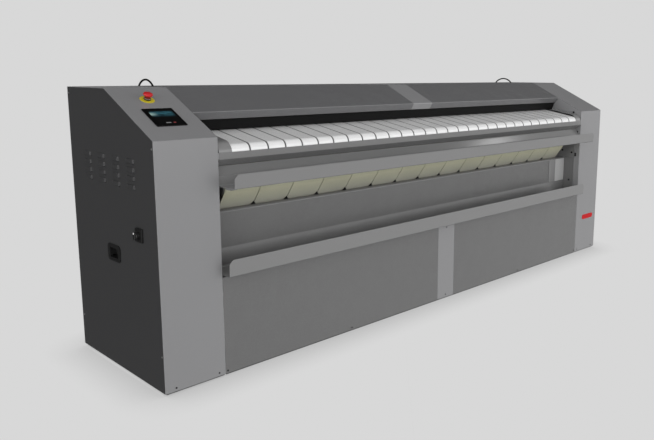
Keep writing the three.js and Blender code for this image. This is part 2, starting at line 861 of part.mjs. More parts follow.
// Rollers: a tube with end discs on bored shafts, which run through the side frames
function roller(radius, core, leftEnd, rightEnd, y, z) {
  const room = core - rollerDisc;
  const profile = [
    [shaftBore, -leftEnd],
    [shaftRadius, -leftEnd],
    [shaftRadius, -core],
    [radius, -core],
    [radius, core],
    [shaftRadius, core],
    [shaftRadius, rightEnd],
    [shaftBore, rightEnd],
    [shaftBore, room],
    [radius - rollerWall, room],
    [radius - rollerWall, -room],
    [shaftBore, -room],
    [shaftBore, -leftEnd],
  ];
  return turnedX(profile, y, z, 20);
}
const shaftEnd = frameX + framePlate;
const feedCore = noseBandEdge - bandGap;
const feedShaftLeft = -sprocketX + sprocketThickness * 2;
const feedFront = roller(feedRollerRadius, feedCore, shaftEnd, shaftEnd, noseY, noseZ);
const feedRear = roller(feedRollerRadius, feedCore, feedShaftLeft, shaftEnd, rearFeedY, rearFeedZ);
part("feed_roller_front", feedFront, bareSteel, 0.35, 0.9);
part("feed_roller_rear", feedRear, bareSteel, 0.35, 0.9);

// A set of bands on one web, with open grooves between the bands where they show
function bandSet(circles, thickness, count, edgeX, shown, step) {
  const base = fitGap;
  const outerLine = beltLine(circles, base + thickness, step);
  const innerLine = beltLine(circles, base, step);
  const webLine = beltLine(circles, base + bandWeb, step);
  const farLine = beltLine(circles, base + thickness + overrun, step);
  const whole = prismX(outerLine, -edgeX, edgeX, [innerLine]);
  const pitch = (2 * edgeX) / count;
  const grooves = [];
  for (let i = 1; i < count; i += 1) {
    const x = -edgeX + i * pitch;
    grooves.push(prismX(farLine, x - bandGap / 2, x + bandGap / 2, [webLine]));
  }
  return cut(whole, [join(grooves).intersect(shown)]);
}

const feedCircles = [
  { y: noseY, z: noseZ, radius: feedRollerRadius, turn: 1 },
  { y: rearFeedY, z: rearFeedZ, radius: feedRollerRadius, turn: 1 },
];
const feedShown = box(-half, half, -noseY, rearFeedY - feedRollerRadius, noseZ - bandGap, height);
const feedEdge = noseBandEdge - seam;
const feedBands = bandSet(feedCircles, feedBandThickness, feedBandCount, feedEdge, feedShown, feedStep);
part("feed_bands", feedBands, white, 0.8, 0);

// Ironing rollers and bands
const ironEdge = ironRollerHalf - ironBandMargin;
ironRollers.forEach((place) => {
  const end = place.name === "outfeed" ? trayEdge + bracketPlate : shaftEnd;
  const body = roller(ironRollerRadius, ironRollerHalf, end, end, place.y, place.z);
  part(`ironing_roller_${place.name}`, body, bareSteel, 0.35, 0.9);
});
const ironCircles = [
  { y: nipRollerY, z: nipRollerZ, radius: ironRollerRadius, turn: 1 },
  { y: cylinderY, z: cylinderZ, radius: cylinderRadius + ironBandThickness + 2 * fitGap, turn: -1 },
  { y: outfeedY, z: outfeedZ, radius: ironRollerRadius, turn: 1 },
  { y: turnRollerY, z: turnRollerZ, radius: ironRollerRadius, turn: 1 },
  { y: lowerRollerY, z: lowerRollerZ, radius: ironRollerRadius, turn: 1 },
  { y: upperRollerY, z: upperRollerZ, radius: ironRollerRadius, turn: 1 },
];
const ironShown = box(-half, half, 0, trayFlangeY + combPoint, trayFlangeZ - combPoint, outfeedZ);
const ironBands = bandSet(ironCircles, ironBandThickness, ironBandCount, ironEdge, ironShown, ironStep);
part("ironing_bands", ironBands, cream, 0.85, 0);

// Scraper comb: a strip with a point in each gap of the ironing bands, parallel to them
const combOutline = [];
const ironPitch = (2 * ironEdge) / ironBandCount;
combOutline.push([-ironEdge, -combStem - combHeight]);
combOutline.push([ironEdge, -combStem - combHeight]);
combOutline.push([ironEdge, -combStem]);
for (let i = ironBandCount - 1; i >= 1; i -= 1) {
  const x = -ironEdge + i * ironPitch;
  combOutline.push([x + combPointWidth / 2, -combStem]);
  combOutline.push([x + combPointWidth / 2, 0]);
  combOutline.push([x, combPoint]);
  combOutline.push([x - combPointWidth / 2, 0]);
  combOutline.push([x - combPointWidth / 2, -combStem]);
}
combOutline.push([-ironEdge, -combStem]);
const combNormal = [-Math.sin(peel), -Math.cos(peel)];
const combUp = [-Math.cos(peel), Math.sin(peel)];
const bandFace = ironRollerRadius + fitGap + ironBandThickness + combStandoff;
const combFace = [outfeedY + combNormal[0] * bandFace, outfeedZ + combNormal[1] * bandFace];
const combAlong = (trayFlangeY - combFace[0]) * combUp[0] + (trayFlangeZ - combFace[1]) * combUp[1];
const combRoot = [combFace[0] + combUp[0] * combAlong, combFace[1] + combUp[1] * combAlong];
const combMatrix = new THREE.Matrix4().set(
  1, 0, 0, 0,
  0, combUp[0], combNormal[0], combRoot[0],
  0, combUp[1], combNormal[1], combRoot[1],
  0, 0, 0, 1,
);
const combSettings = { depth: combThickness, bevelEnabled: false };
const combGeometry = new THREE.ExtrudeGeometry(outlineShape(combOutline), combSettings);
combGeometry.applyMatrix4(combMatrix);
part("scraper_comb", solid(combGeometry), blackPlastic, 0.5, 0.2);

// Heated cylinder: shell, end discs and hollow journals in one turned body
const cylinderProfile = [
  [journalBore, -journalLeft],
  [journalRadius, -journalLeft],
  [journalRadius, -cylinderHalf],
  [cylinderRadius, -cylinderHalf],
  [cylinderRadius, cylinderHalf],
  [journalRadius, cylinderHalf],
  [journalRadius, journalRight],
  [journalBore, journalRight],
  [journalBore, cylinderHalf - cylinderDisc],
  [cylinderRadius - cylinderWall, cylinderHalf - cylinderDisc],
  [cylinderRadius - cylinderWall, -cylinderHalf + cylinderDisc],
  [journalBore, -cylinderHalf + cylinderDisc],
  [journalBore, -journalLeft],
];
part("heated_cylinder", turnedX(cylinderProfile, cylinderY, cylinderZ, 44), bareSteel, 0.2, 1);

// Heater bundle: fixed core riding in both journals, two spiders, rods and a terminal head
const spiderAt = cylinderHalf - spiderInset;
const bushRadius = journalBore - fitGap;
const bushInner = cylinderHalf - cylinderDisc;
const terminalFrom = journalRight + terminalStart;
const heaterPieces = [
  rodX(cylinderY, cylinderZ, heaterCore, -bushInner, terminalFrom, 12),
  rodX(cylinderY, cylinderZ, bushRadius, -cylinderHalf - flange, -bushInner, 20),
  rodX(cylinderY, cylinderZ, bushRadius, bushInner, journalRight, 20),
  rodX(cylinderY, cylinderZ, journalRadius, terminalFrom, terminalFrom + terminalLength, 16),
];
[-1, 1].forEach((side) => {
  const plateTo = side * (spiderAt - spiderThickness);
  heaterPieces.push(rodX(cylinderY, cylinderZ, spiderRadius, side * spiderAt, plateTo, 18));
});
for (let i = 0; i < heaterRodCount; i += 1) {
  const angle = (i / heaterRodCount) * Math.PI * 2;
  const y = cylinderY + heaterCircle * Math.cos(angle);
  const z = cylinderZ + heaterCircle * Math.sin(angle);
  heaterPieces.push(rodX(y, z, heaterRod, -spiderAt - sheet, spiderAt + sheet, 6));
}
part("heater_bundle", join(heaterPieces), 0x6b5a4a, 0.6, 0.6);

// Flange bearings of the cylinder, outside the side frames
function bearing(side) {
  const inner = frameX + framePlate / 2 + fitGap;
  const outer = inner + bearingThickness;
  const plate = rodX(cylinderY, cylinderZ, bearingRadius, side * inner, side * (inner + bearingFlange), 28);
  const boss = rodX(cylinderY, cylinderZ, bearingBoss, side * inner, side * outer, 28);
  const boreFrom = side * (inner - overrun);
  const bore = rodX(cylinderY, cylinderZ, journalRadius + fitGap, boreFrom, side * (outer + overrun), 28);
  return cut(plate.add(boss), [bore]);
}
part("cylinder_bearing_left", bearing(-1), 0x3f4a52, 0.6, 0.5);
part("cylinder_bearing_right", bearing(1), 0x3f4a52, 0.6, 0.5);

// Side frames: plates with an arm out to the nose, bores for every shaft
const frameTop = height - frameTopDrop;
const armHalf = shaftRadius + frameBoss;
const bentTopY = slopeDepth + frameBendShift;
const riseY = nipRollerY - ironRollerRadius - journalClearance;
const frameOutline = [
  [frameFront, railBottom + railHeight + seam],
  [frameBack, railBottom + railHeight + seam],
  [frameBack, frameTop],
  [bentTopY, frameTop],
  [riseY, slopeAt(riseY) - frameTopDrop],
  [riseY, rearFeedZ + armHalf],
  [rearFeedY - armHalf, rearFeedZ + armHalf / 2],
  [noseY - armHalf + sheet, noseZ + armHalf],
  [noseY - armHalf + sheet, noseZ - armHalf],
  [frameFront, noseZ - armHalf],
];
const frameShafts = [
  { y: noseY, z: noseZ },
  { y: rearFeedY, z: rearFeedZ },
  ...ironRollers.filter((place) => place.name !== "outfeed"),
];
function sideFrame(side) {
  const near = side * (frameX - framePlate / 2);
  const far = side * (frameX + framePlate / 2);
  const from = side * (frameX - framePlate);
  const to = side * (frameX + framePlate);
  const plate = prismX(frameOutline, near, far);
  const bores = frameShafts.map((place) => rodX(place.y, place.z, shaftRadius + fitGap, from, to));
  bores.push(rodX(cylinderY, cylinderZ, journalHole, from, to, 28));
  return cut(plate, bores);
}
part("side_frame_left", sideFrame(-1), framePaint, 0.55, 0.4);
part("side_frame_right", sideFrame(1), framePaint, 0.55, 0.4);

// Base frame: two long rails and four cross rails of hollow section joined in one weldment
const railTop = railBottom + railHeight;
const railEnd = half - railEndInset;
const longRails = [railFrontY, railBackY].map((y) => {
  const tube = box(-railEnd, railEnd, y - railWidth / 2, y + railWidth / 2, railBottom, railTop);
  const bore = box(
    -railEnd - overrun,
    railEnd + overrun,
    y - railWidth / 2 + railWall,
    y + railWidth / 2 - railWall,
    railBottom + railWall,
    railTop - railWall,
  );
  return cut(tube, [bore]);
});
const crossPlaces = [-railEnd + railWidth, -frameX, frameX, railEnd - railWidth];
const crossRails = crossPlaces.map((x) =>
  box(x - railWidth / 2, x + railWidth / 2, railFrontY, railBackY, railBottom, railTop),
);
const crossTrims = [railFrontY, railBackY].map((y) =>
  box(
    -railEnd - overrun,
    railEnd + overrun,
    y - railWidth / 2 + railWall,
    y + railWidth / 2 - railWall,
    railBottom + railWall,
    railTop - railWall,
  ),
);
const crossBodies = crossRails.map((rail) => cut(rail, crossTrims));
part("base_frame", join([...longRails, ...crossBodies]), framePaint, 0.55, 0.4);

// Levelling feet
const footPlaces = [
  { name: "front_left", x: -half + footInset, y: railFrontY },
  { name: "front_right", x: half - footInset, y: railFrontY },
  { name: "back_left", x: -half + footInset, y: railBackY },
  { name: "back_right", x: half - footInset, y: railBackY },
];
footPlaces.forEach((place) => {
  const pad = rodZ(place.x, place.y, footRadius, -footHeight, -footHeight + footPad, 32);
  const stem = rodZ(place.x, place.y, footStemRadius, -footHeight + footPad / 2, railBottom - fitGap, 20);
  part(`levelling_foot_${place.name}`, pad.add(stem), rubberBlack, 0.7, 0.2);
});

// End brackets with the posts below them, holding the outfeed roller
const bracketOutline = [
  [bracketFront, bracketStep],
  [postFront, bracketStep],
  [postFront, postBottom],
  [postBack, postBottom],
  [postBack, bracketTail],
  [bracketBack, bracketTail],
  [bracketBack, bracketTop],
  [bracketFront, bracketTop],
];
function bracket(side) {
  const near = trayEdge + fitGap;
  const far = near + bracketPlate;
  const plate = prismX(bracketOutline, side * near, side * far);
  const bore = rodX(outfeedY, outfeedZ, shaftRadius + fitGap, side * (near - overrun), side * (far + overrun));
  return cut(plate, [bore]);
}
part("bracket_left", bracket(-1), darkPaint, 0.4, 0.5);
part("bracket_right", bracket(1), darkPaint, 0.4, 0.5);

// Drive: sprockets, chain and gearmotor
function toothed(radius, teeth) {
  const points = [];
  for (let i = 0; i < teeth; i += 1) {
    const a = (i / teeth) * Math.PI * 2;
    const b = ((i + 0.5) / teeth) * Math.PI * 2;
    points.push([radius * Math.cos(a), radius * Math.sin(a)]);
    points.push([(radius - toothDepth) * Math.cos(b), (radius - toothDepth) * Math.sin(b)]);
  }
  return points;
}
const feedOuter = feedRollerRadius + feedBandThickness;
const largePitch = (feedSprocketRadius * cylinderRadius) / feedOuter;
function sprocket(pitchRadius, teeth, bore, y, z) {
  const disc = prismX(
    toothed(pitchRadius - chainThickness / 2 - fitGap, teeth).map(([a, b]) => [a + y, b + z]),
    sprocketX - sprocketThickness / 2,
    sprocketX + sprocketThickness / 2,
  );
  const hole = rodX(y, z, bore + fitGap, sprocketX - flange, sprocketX + flange, 24);
  return cut(disc, [hole]);
}
const largeSprocket = sprocket(largePitch, sprocketTeethLarge, journalRadius, cylinderY, cylinderZ);
const smallSprocket = sprocket(feedSprocketRadius, sprocketTeethSmall, shaftRadius, rearFeedY, rearFeedZ);
part("cylinder_sprocket", largeSprocket, sprocketSteel, 0.4, 0.9);
part("feed_sprocket", smallSprocket, sprocketSteel, 0.4, 0.9);
const chainCircles = [
  { y: rearFeedY, z: rearFeedZ, radius: feedSprocketRadius, turn: 1 },
  { y: cylinderY, z: cylinderZ, radius: largePitch, turn: 1 },
];
const chain = prismX(
  beltLine(chainCircles, chainThickness / 2, chainStep),
  sprocketX - chainWidth / 2,
  sprocketX + chainWidth / 2,
  [beltLine(chainCircles, -chainThickness / 2, chainStep)],
);
part("feed_chain", chain, 0x4a4a4a, 0.5, 0.8);

const gearCase = box(
  gearFrom,
  gearTo,
  cylinderY - gearboxReach,
  cylinderY + gearboxReach,
  cylinderZ - gearboxRise,
  cylinderZ + gearboxRise,
);
const motorMid = (gearFrom + gearTo) / 2;
const motorBottom = cylinderZ - gearboxRise - motorDrop;
const motorCase = rodZ(motorMid, cylinderY, motorRadius, motorBottom, cylinderZ, 24);
const terminalBox = box(
  motorMid - terminalHalf,
  motorMid + terminalHalf,
  cylinderY - terminalReach,
  cylinderY,
  cylinderZ - gearboxRise - terminalBottom,
  cylinderZ - gearboxRise - terminalTop,
);
const gearBoreRadius = journalRadius + fitGap;
const gearBore = rodX(cylinderY, cylinderZ, gearBoreRadius, gearFrom - overrun, gearTo + overrun, 28);
part("gearmotor", cut(join([gearCase, motorCase, terminalBox]), [gearBore]), 0x4c5d6b, 0.5, 0.5);

// Exhaust fan: drum housing with inlet towards the working space and outlet through the back
const drumOuter = rodX(fanY, fanZ, fanRadius, fanInner, fanOuter, 32);
const drumInner = rodX(fanY, fanZ, fanRadius - fanWall, fanInner + fanWall, fanOuter - fanWall, 32);
const inletPipe = rodX(fanY, fanZ, fanInletRadius + sheet, wallX, fanInner + fanWall, 24);
const inletBore = rodX(fanY, fanZ, fanInletRadius, wallX - overrun, fanInner + fanWall + overrun, 24);
const spigot = rodY(spigotAt, spigotZ, spigotRadius, fanY, depth + spigotReach, 24);
const spigotBore = rodY(spigotAt, spigotZ, spigotRadius - fanWall, fanY, depth + spigotReach + overrun, 24);
const impellerNear = fanInner + fanWall + impellerGap;
const impellerFar = fanOuter - fanWall - impellerGap;
const fanBoss = rodX(fanY, fanZ, fanBossRadius, impellerFar + fitGap, fanOuter, 20);
const fanBore = rodX(fanY, fanZ, shaftRadius + fitGap, impellerFar - overrun, fanOuter + overrun, 20);
const fanShell = cut(join([drumOuter, inletPipe, spigot]), [drumInner, inletBore, spigotBore]);
const housing = cut(fanShell.add(fanBoss), [fanBore]);
part("fan_housing", housing, 0x8f9498, 0.45, 0.8);
const impellerPieces = [
  rodX(fanY, fanZ, impellerHub, impellerNear + hubStart, impellerFar, 20),
  rodX(fanY, fanZ, shaftRadius, impellerFar - fanWall, fanOuter, 16),
  rodX(fanY, fanZ, impellerRadius, impellerFar - fanWall, impellerFar, 28),
];
for (let i = 0; i < impellerBlades; i += 1) {
  const bladeSpan = impellerFar - impellerNear - fanWall / 2;
  const blade = new THREE.BoxGeometry(bladeSpan, bladeOuter - bladeInner, bladeThickness);
  blade.translate(impellerNear + bladeSpan / 2, (bladeOuter + bladeInner) / 2, 0);
  blade.rotateX((i / impellerBlades) * Math.PI * 2);
  blade.translate(0, fanY, fanZ);
  impellerPieces.push(solid(blade));
}
part("fan_impeller", join(impellerPieces), 0x9aa0a4, 0.4, 0.8);

// Control box with a cable gland hole
const boxRight = -wallX - sheet - fitGap;
const boxLeft = boxRight - boxWidth;
const boxBody = box(boxLeft, boxRight, boxFront, boxBack, boxBottom, boxTop);
const boxRoom = box(
  boxLeft + boxWall,
  boxRight - boxWall,
  boxFront + boxWall,
  boxBack - boxWall,
  boxBottom + boxWall,
  boxTop - boxWall,
);
const boxMid = (boxLeft + boxRight) / 2;
const glandY = (boxFront + boxBack) / 2;
const gland = rodZ(boxMid, glandY, glandRadius, boxTop - boxWall - overrun, boxTop + overrun, 24);
part("control_box", cut(boxBody, [boxRoom, gland]), 0x9a9c9e, 0.5, 0.4);

// Touch screen: bezel on the slope, body through the cut-out
const bezel = slopeBox(
  screenAt - screenWidth / 2,
  screenAt + screenWidth / 2,
  screenAlong - screenLength / 2,
  screenAlong + screenLength / 2,
  fitGap,
  screenBezel,
);
const screenBody = slopeBox(
  screenAt - screenWidth / 2 + screenRim + seam,
  screenAt + screenWidth / 2 - screenRim - seam,
  screenAlong - screenLength / 2 + screenRim + seam,
  screenAlong + screenLength / 2 - screenRim - seam,
  -screenBodyDepth,
  screenBezel / 2,
);
part("touch_screen", bezel.add(screenBody), 0x08090a, 0.12, 0);

// Emergency stop: yellow disc, collar with barrel, and the mushroom button that travels
const discTop = fitGap + stopDiscThickness;
const discProfile = [
  [stopBarrelRadius + fitGap, fitGap],
  [stopDiscRadius, fitGap],
  [stopDiscRadius, discTop],
  [stopBarrelRadius + fitGap, discTop],
  [stopBarrelRadius + fitGap, fitGap],
];
part("stop_disc", slopeTurned(discProfile, stopAt, stopAlong), 0xd9c020, 0.4, 0);
const collarBase = discTop + fitGap;
const collarProfile = [
  [stopStemRadius + fitGap, -stopBarrelDepth],
  [stopBarrelRadius, -stopBarrelDepth],
  [stopBarrelRadius, collarBase],
  [stopCollarRadius, collarBase],
  [stopCollarRadius, collarBase + stopCollarHeight],
  [stopStemRadius + fitGap, collarBase + stopCollarHeight],
  [stopStemRadius + fitGap, -stopBarrelDepth],
];
part("stop_collar", slopeTurned(collarProfile, stopAt, stopAlong), blackPlastic, 0.45, 0.1);
const headBase = collarBase + stopCollarHeight + stopTravel + fitGap;
const headShares = [[0.85, 0], [1, 0.25], [1, 0.6], [0.85, 0.85], [0.5, 1], [0, 1]];
const buttonProfile = [
  [0, -stopBarrelDepth + stopStemInset],
  [stopStemRadius, -stopBarrelDepth + stopStemInset],
  [stopStemRadius, headBase],
  ...headShares.map(([across, up]) => [stopHeadRadius * across, headBase + stopHeadHeight * up]),
];
part("stop_button", slopeTurned(buttonProfile, stopAt, stopAlong), 0xc62828, 0.35, 0);

// Mains isolator: plate with a block behind the panel, and the turning knob
const isolatorOut = half + fitGap;
const isolatorFace = isolatorOut + isolatorPlate;
const isolatorPlateBody = box(
  -isolatorFace,
  -isolatorOut,
  isolatorY - isolatorWidth / 2,
  isolatorY + isolatorWidth / 2,
  isolatorZ - isolatorHeight / 2,
  isolatorZ + isolatorHeight / 2,
);
const blockFrom = -half + sheet + isolatorBlockGap;
const neckTo = blockFrom + isolatorBlockGap;
const isolatorNeckBody = rodX(isolatorY, isolatorZ, isolatorNeck, -isolatorOut - sheet, neckTo, 20);
const isolatorBlockBody = box(
  blockFrom,
  -half + isolatorBlock,
  isolatorY - isolatorBlockHalf,
  isolatorY + isolatorBlockHalf,
  isolatorZ - isolatorBlockHalf,
  isolatorZ + isolatorBlockHalf,
);
const spindleTo = -half + isolatorSpindleDepth;
const spindleHole = isolatorSpindle + fitGap;
const spindleBore = rodX(isolatorY, isolatorZ, spindleHole, -isolatorFace - overrun, spindleTo + overrun, 20);
const isolatorWhole = join([isolatorPlateBody, isolatorNeckBody, isolatorBlockBody]);
part("isolator_plate", cut(isolatorWhole, [spindleBore]), blackPlastic, 0.4, 0);
const knobBase = isolatorFace + fitGap;
const knobDisc = rodX(isolatorY, isolatorZ, knobRadius, -knobBase - knobDiscDepth, -knobBase, 24);
const knobBar = box(
  -knobBase - knobDepth,
  -knobBase - knobDiscDepth / 2,
  isolatorY - knobGrip / 2,
  isolatorY + knobGrip / 2,
  isolatorZ - knobRadius,
  isolatorZ + knobRadius,
);
const spindle = rodX(isolatorY, isolatorZ, isolatorSpindle, -knobBase - sheet, spindleTo, 16);
part("isolator_knob", join([knobDisc, knobBar, spindle]), 0x101010, 0.25, 0);

// Recessed pull handle: flange plate with a cup into the cabinet
const handleFace = half + fitGap;
const handleFlange = box(
  -handleFace - handleRim,
  -handleFace,
  handleY - handleWidth / 2,
  handleY + handleWidth / 2,
  handleZ - handleHeight / 2,
  handleZ + handleHeight / 2,
);
const cupOuter = box(
  -handleFace - sheet,
  -half + cupDepth,
  handleY - cupWidth / 2 - handleRim,
  handleY + cupWidth / 2 + handleRim,
  handleZ - cupHeight / 2 - handleRim,
  handleZ + cupHeight / 2 + handleRim,
);
const cupRoom = box(
  -handleFace - handleRim - overrun,
  -half + cupDepth - handleRim,
  handleY - cupWidth / 2,
  handleY + cupWidth / 2,
  handleZ - cupHeight / 2,
  handleZ + cupHeight / 2,
);
part("pull_handle", cut(handleFlange.add(cupOuter), [cupRoom]), blackPlastic, 0.5, 0);

// Lifting hoops: bent rod standing on the frame's top edge
function hoop(side) {
  const points = [];
  const foot = frameTop + fitGap;
  const shoulder = height + hoopRod;
  points.push(new THREE.Vector3(side * frameX, hoopY - hoopHalfSpan, foot));
  const steps = 12;
  for (let i = 0; i <= steps; i += 1) {
    const angle = Math.PI - (Math.PI * i) / steps;
    const y = hoopY + hoopHalfSpan * Math.cos(angle);
    const z = shoulder + (hoopRise - hoopRod) * Math.sin(angle);
    points.push(new THREE.Vector3(side * frameX, y, z));
  }
  points.push(new THREE.Vector3(side * frameX, hoopY + hoopHalfSpan, foot));
  return swept(points, hoopRod, 8);
}
part("hoop_left", hoop(-1), 0x2c2c2e, 0.4, 0.7);
part("hoop_right", hoop(1), 0x2c2c2e, 0.4, 0.7);

// Plain red plate on the right front cover
const plateAt = half - plateX;
const redPlate = box(
  plateAt - plateWidth / 2,
  plateAt + plateWidth / 2,
  -sheet / 2 - fitGap,
  -fitGap,
  plateZ - plateHeight / 2,
  plateZ + plateHeight / 2,
);
part("red_plate", redPlate, 0xc8282d, 0.35, 0);

const ironer = new THREE.Group();
ironer.add(machine);
ironer.updateMatrixWorld(true);

export default ironer;
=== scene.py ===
"""The looks of a rotary ironer for linen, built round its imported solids.

Places are in millimetres in the cabinet frame: x from the middle of the machine, y back from the
front covers and z up from the cabinets' foot. spot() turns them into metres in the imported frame.
"""

import math
from contextlib import contextmanager

import bmesh
import bpy
from mathutils import Matrix, Quaternion, Vector


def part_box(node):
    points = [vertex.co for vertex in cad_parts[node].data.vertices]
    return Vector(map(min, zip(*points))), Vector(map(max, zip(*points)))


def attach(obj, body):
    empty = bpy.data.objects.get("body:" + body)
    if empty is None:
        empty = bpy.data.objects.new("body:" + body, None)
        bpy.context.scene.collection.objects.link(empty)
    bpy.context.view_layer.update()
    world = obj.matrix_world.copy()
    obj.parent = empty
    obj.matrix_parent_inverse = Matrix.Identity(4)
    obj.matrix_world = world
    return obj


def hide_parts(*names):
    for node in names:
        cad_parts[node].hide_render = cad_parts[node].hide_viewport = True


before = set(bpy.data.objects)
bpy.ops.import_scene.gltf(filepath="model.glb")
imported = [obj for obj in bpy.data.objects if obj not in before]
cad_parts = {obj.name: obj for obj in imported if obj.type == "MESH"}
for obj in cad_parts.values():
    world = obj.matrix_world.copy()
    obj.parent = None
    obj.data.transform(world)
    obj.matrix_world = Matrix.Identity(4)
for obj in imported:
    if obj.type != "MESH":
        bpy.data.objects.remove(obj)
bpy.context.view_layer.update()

bl_info = {
    "name": "Rotary ironer",
    "version": (1, 0, 0),
    "blender": (4, 5, 0),
    "location": "3D View > Sidebar > Ironer",
    "description": "Builds the covers, bands, rollers and controls of a rotary ironer",
    "category": "Object",
}

MM = 0.001

# The cabinets
HALF = 1850
WALL = 1554
DEPTH = 820
HEIGHT = 1280.004
FRONT = 1077.004
BEND = 424
BACK_TOP = 1253.4
WALL_FOOT = 80.6
SHEET = 2
SEAM = 0.6
LAP = 20
SLOPE = math.atan2(HEIGHT - FRONT, BEND)

# What counts as the same: two tolerances in metres, one in radians, one in millimetres, a cosine
TOUCH = 1e-5
HAIR = 1e-6
STRAIGHT = 1e-3
CLOSE = 0.1
FACING = 0.9

# Widths of broken edges, in millimetres, and counts of sides of round pieces
FINE_EDGE = 0.3
PRESSED_EDGE = 0.5
PLATE_EDGE = 0.6
COVER_EDGE = 0.7
MOULDED_EDGE = 0.8
LARGE_ROUND = 48
ROUND = 40

# The hood and the lower front
HOOD_BENDS = (1, 2, 1.5)
HOOD_BACK = (DEPTH, 1254)
HOOD_LIP = (199, 1172.28)
HOOD_LIP_EDGE = (222, 1136.28)
HOOD_LINE = [HOOD_BACK, (DEPTH, HEIGHT), (BEND, HEIGHT), HOOD_LIP, HOOD_LIP_EDGE]
HOOD_STRIP = 85
PANEL_TOP = 452
PANEL_FOOT = 0.6
# How far the strips of painted shade under the cabinets hang below their foot
SHADE_STRIP_DROP = 4
FRONT_STRIP = 75

# The feed
FEED_FRONT = (38, 1007)
FEED_REAR = (270, 1048)
FEED_RADIUS = 31
FEED_EDGE = 1483.4
FEED_COUNT = 30
FEED_THICK = 3
NOSE_CENTRE = (56, 1003)
NOSE_RADIUS = 54
NOSE_EDGE = 1484
NOSE_REAR = 222
NOSE_SEAM = 5
NOSE_LINE = [(-1, 1007), (-1, 977), (36, 946)]
WALL_LINE = [(36, 945.2), (14.5, 905.6)]
TROUGH_LINE = [(14, 905), (14, 861), (-108, 861), (-113, 924)]
TROUGH_EDGE = 1548

# The outfeed
TRAY_BACK = [(147, 729), (125, 725), (125, 550), (115.4, 474)]
TRAY_LINE = [(115.2, 472.6), (114, 463), (-49, 463), (-52, 539)]
TRAY_EDGE = 1549
LIP_CLIP = 18
IRON_RADIUS = 41
IRON_EDGE = 1469
IRON_COUNT = 15
IRON_THICK = 4
IRON_HALF = 1475
IRON_PLACES = {
    "nip": (338.37, 1131.68),
    "outfeed": (136, 832),
    "turn": (312.34, 589.30),
    "rear_lower": (728, 640),
    "rear_upper": (722, 1140),
}
CYLINDER = (490, 950)
CYLINDER_REACH = 194.8
BAND_LIFT = 0.4
BAND_GAP = 5
FEED_GAP = 5
FEED_PITCH = (2 * FEED_EDGE + FEED_GAP) / FEED_COUNT * MM
# Painted shade on each feed band's edges: its width beside a gap, and its reach from the gap's
# middle
GAP_SHADE_WIDTH = 1.8
GAP_SHADE_REACH = (FEED_GAP / 2 + GAP_SHADE_WIDTH) * MM

# The controls
SCREEN_X = -1702
SCREEN_ALONG = 187
STOP_X = -1705
STOP_ALONG = 351
ISOLATOR = (154, 668)
HOOP_TOP = 1312.5
HOOP_FOOT = 1281
HOOP_HALF = 73
HANDLE = (411, 544)


def cabinet_origin():
    """The cabinet frame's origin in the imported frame, read from the solids."""
    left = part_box("side_panel_left")[0]
    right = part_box("side_panel_right")[1]
    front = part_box("front_cover_left")[0]
    return Vector(((left.x + right.x) / 2, front.y, front.z))


ORIGIN = cabinet_origin()


def spot(x, y, z):
    """A place of the cabinet frame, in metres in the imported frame."""
    return ORIGIN + Vector((x, y, z)) * MM


def on_slope(x, along, up=0.0):
    """A place on the cabinets' sloping top, from its front edge up along it."""
    y = along * math.cos(SLOPE) - up * math.sin(SLOPE)
    return spot(x, y, FRONT + along * math.sin(SLOPE) + up * math.cos(SLOPE))


# Modelling


def fresh():
    """Object mode, with nothing selected."""
    if bpy.context.mode != "OBJECT":
        bpy.ops.object.mode_set(mode="OBJECT")
    bpy.ops.object.select_all(action="DESELECT")


def take(obj):
    """Select one object and make it active."""
    fresh()
    obj.select_set(True)
    bpy.context.view_layer.objects.active = obj


def seated(name, scale=(1, 1, 1)):
    """Name the new primitive, scale it and put its place into its mesh."""
    obj = bpy.context.object
    obj.name = name
    obj.data.name = name
    obj.scale = scale
    bpy.ops.object.transform_apply(location=True, rotation=True, scale=True)
    return obj


@contextmanager
def editing(obj):
    """Edit mode on one object."""
    take(obj)
    bpy.ops.object.mode_set(mode="EDIT")
    yield
    bpy.ops.object.mode_set(mode="OBJECT")


def pick(obj, kind, test):
    """Select the vertices, edges or faces that pass a test, in edit mode."""
    bpy.ops.mesh.select_mode(type=kind)
    bpy.ops.mesh.select_all(action="DESELECT")
    shape = bmesh.from_edit_mesh(obj.data)
    items = {"VERT": shape.verts, "EDGE": shape.edges, "FACE": shape.faces}[kind]
    for item in items:
        if test(item):
            item.select_set(True)
    shape.select_flush_mode()
    bmesh.update_edit_mesh(obj.data)


def middle(edge):
    """The middle of an edge."""
    return (edge.verts[0].co + edge.verts[1].co) / 2


def push(x=0.0, y=0.0, z=0.0):
    """Move what is selected, in millimetres."""
    bpy.ops.transform.translate(value=(x * MM, y * MM, z * MM))


def pull_out(x=0.0, y=0.0, z=0.0):
    """Extrude what is selected, in millimetres."""
    move = {"value": (x * MM, y * MM, z * MM)}
    bpy.ops.mesh.extrude_region_move(TRANSFORM_OT_translate=move)


def rounded(width, segments=4, affect="EDGES"):
    """Round the selected edges or corners, in millimetres."""
    bpy.ops.mesh.bevel(offset=width * MM, segments=segments, profile=0.5, affect=affect)


def cut_line(place, normal, clear=False):
    """Cut what is selected along a plane, and clear what lies outside if asked."""
    bpy.ops.mesh.bisect(plane_co=place, plane_no=normal, clear_outer=clear)


def scored(place, normal):
    """Cut the whole mesh along a plane without taking anything away."""
    bpy.ops.mesh.select_all(action="SELECT")
    cut_line(place, normal)


def block(name, low, high):
    """A block between two corners, with no scale left on it."""
    fresh()
    bpy.ops.mesh.primitive_cube_add(size=1, location=(low + high) / 2)
    return seated(name, high - low)


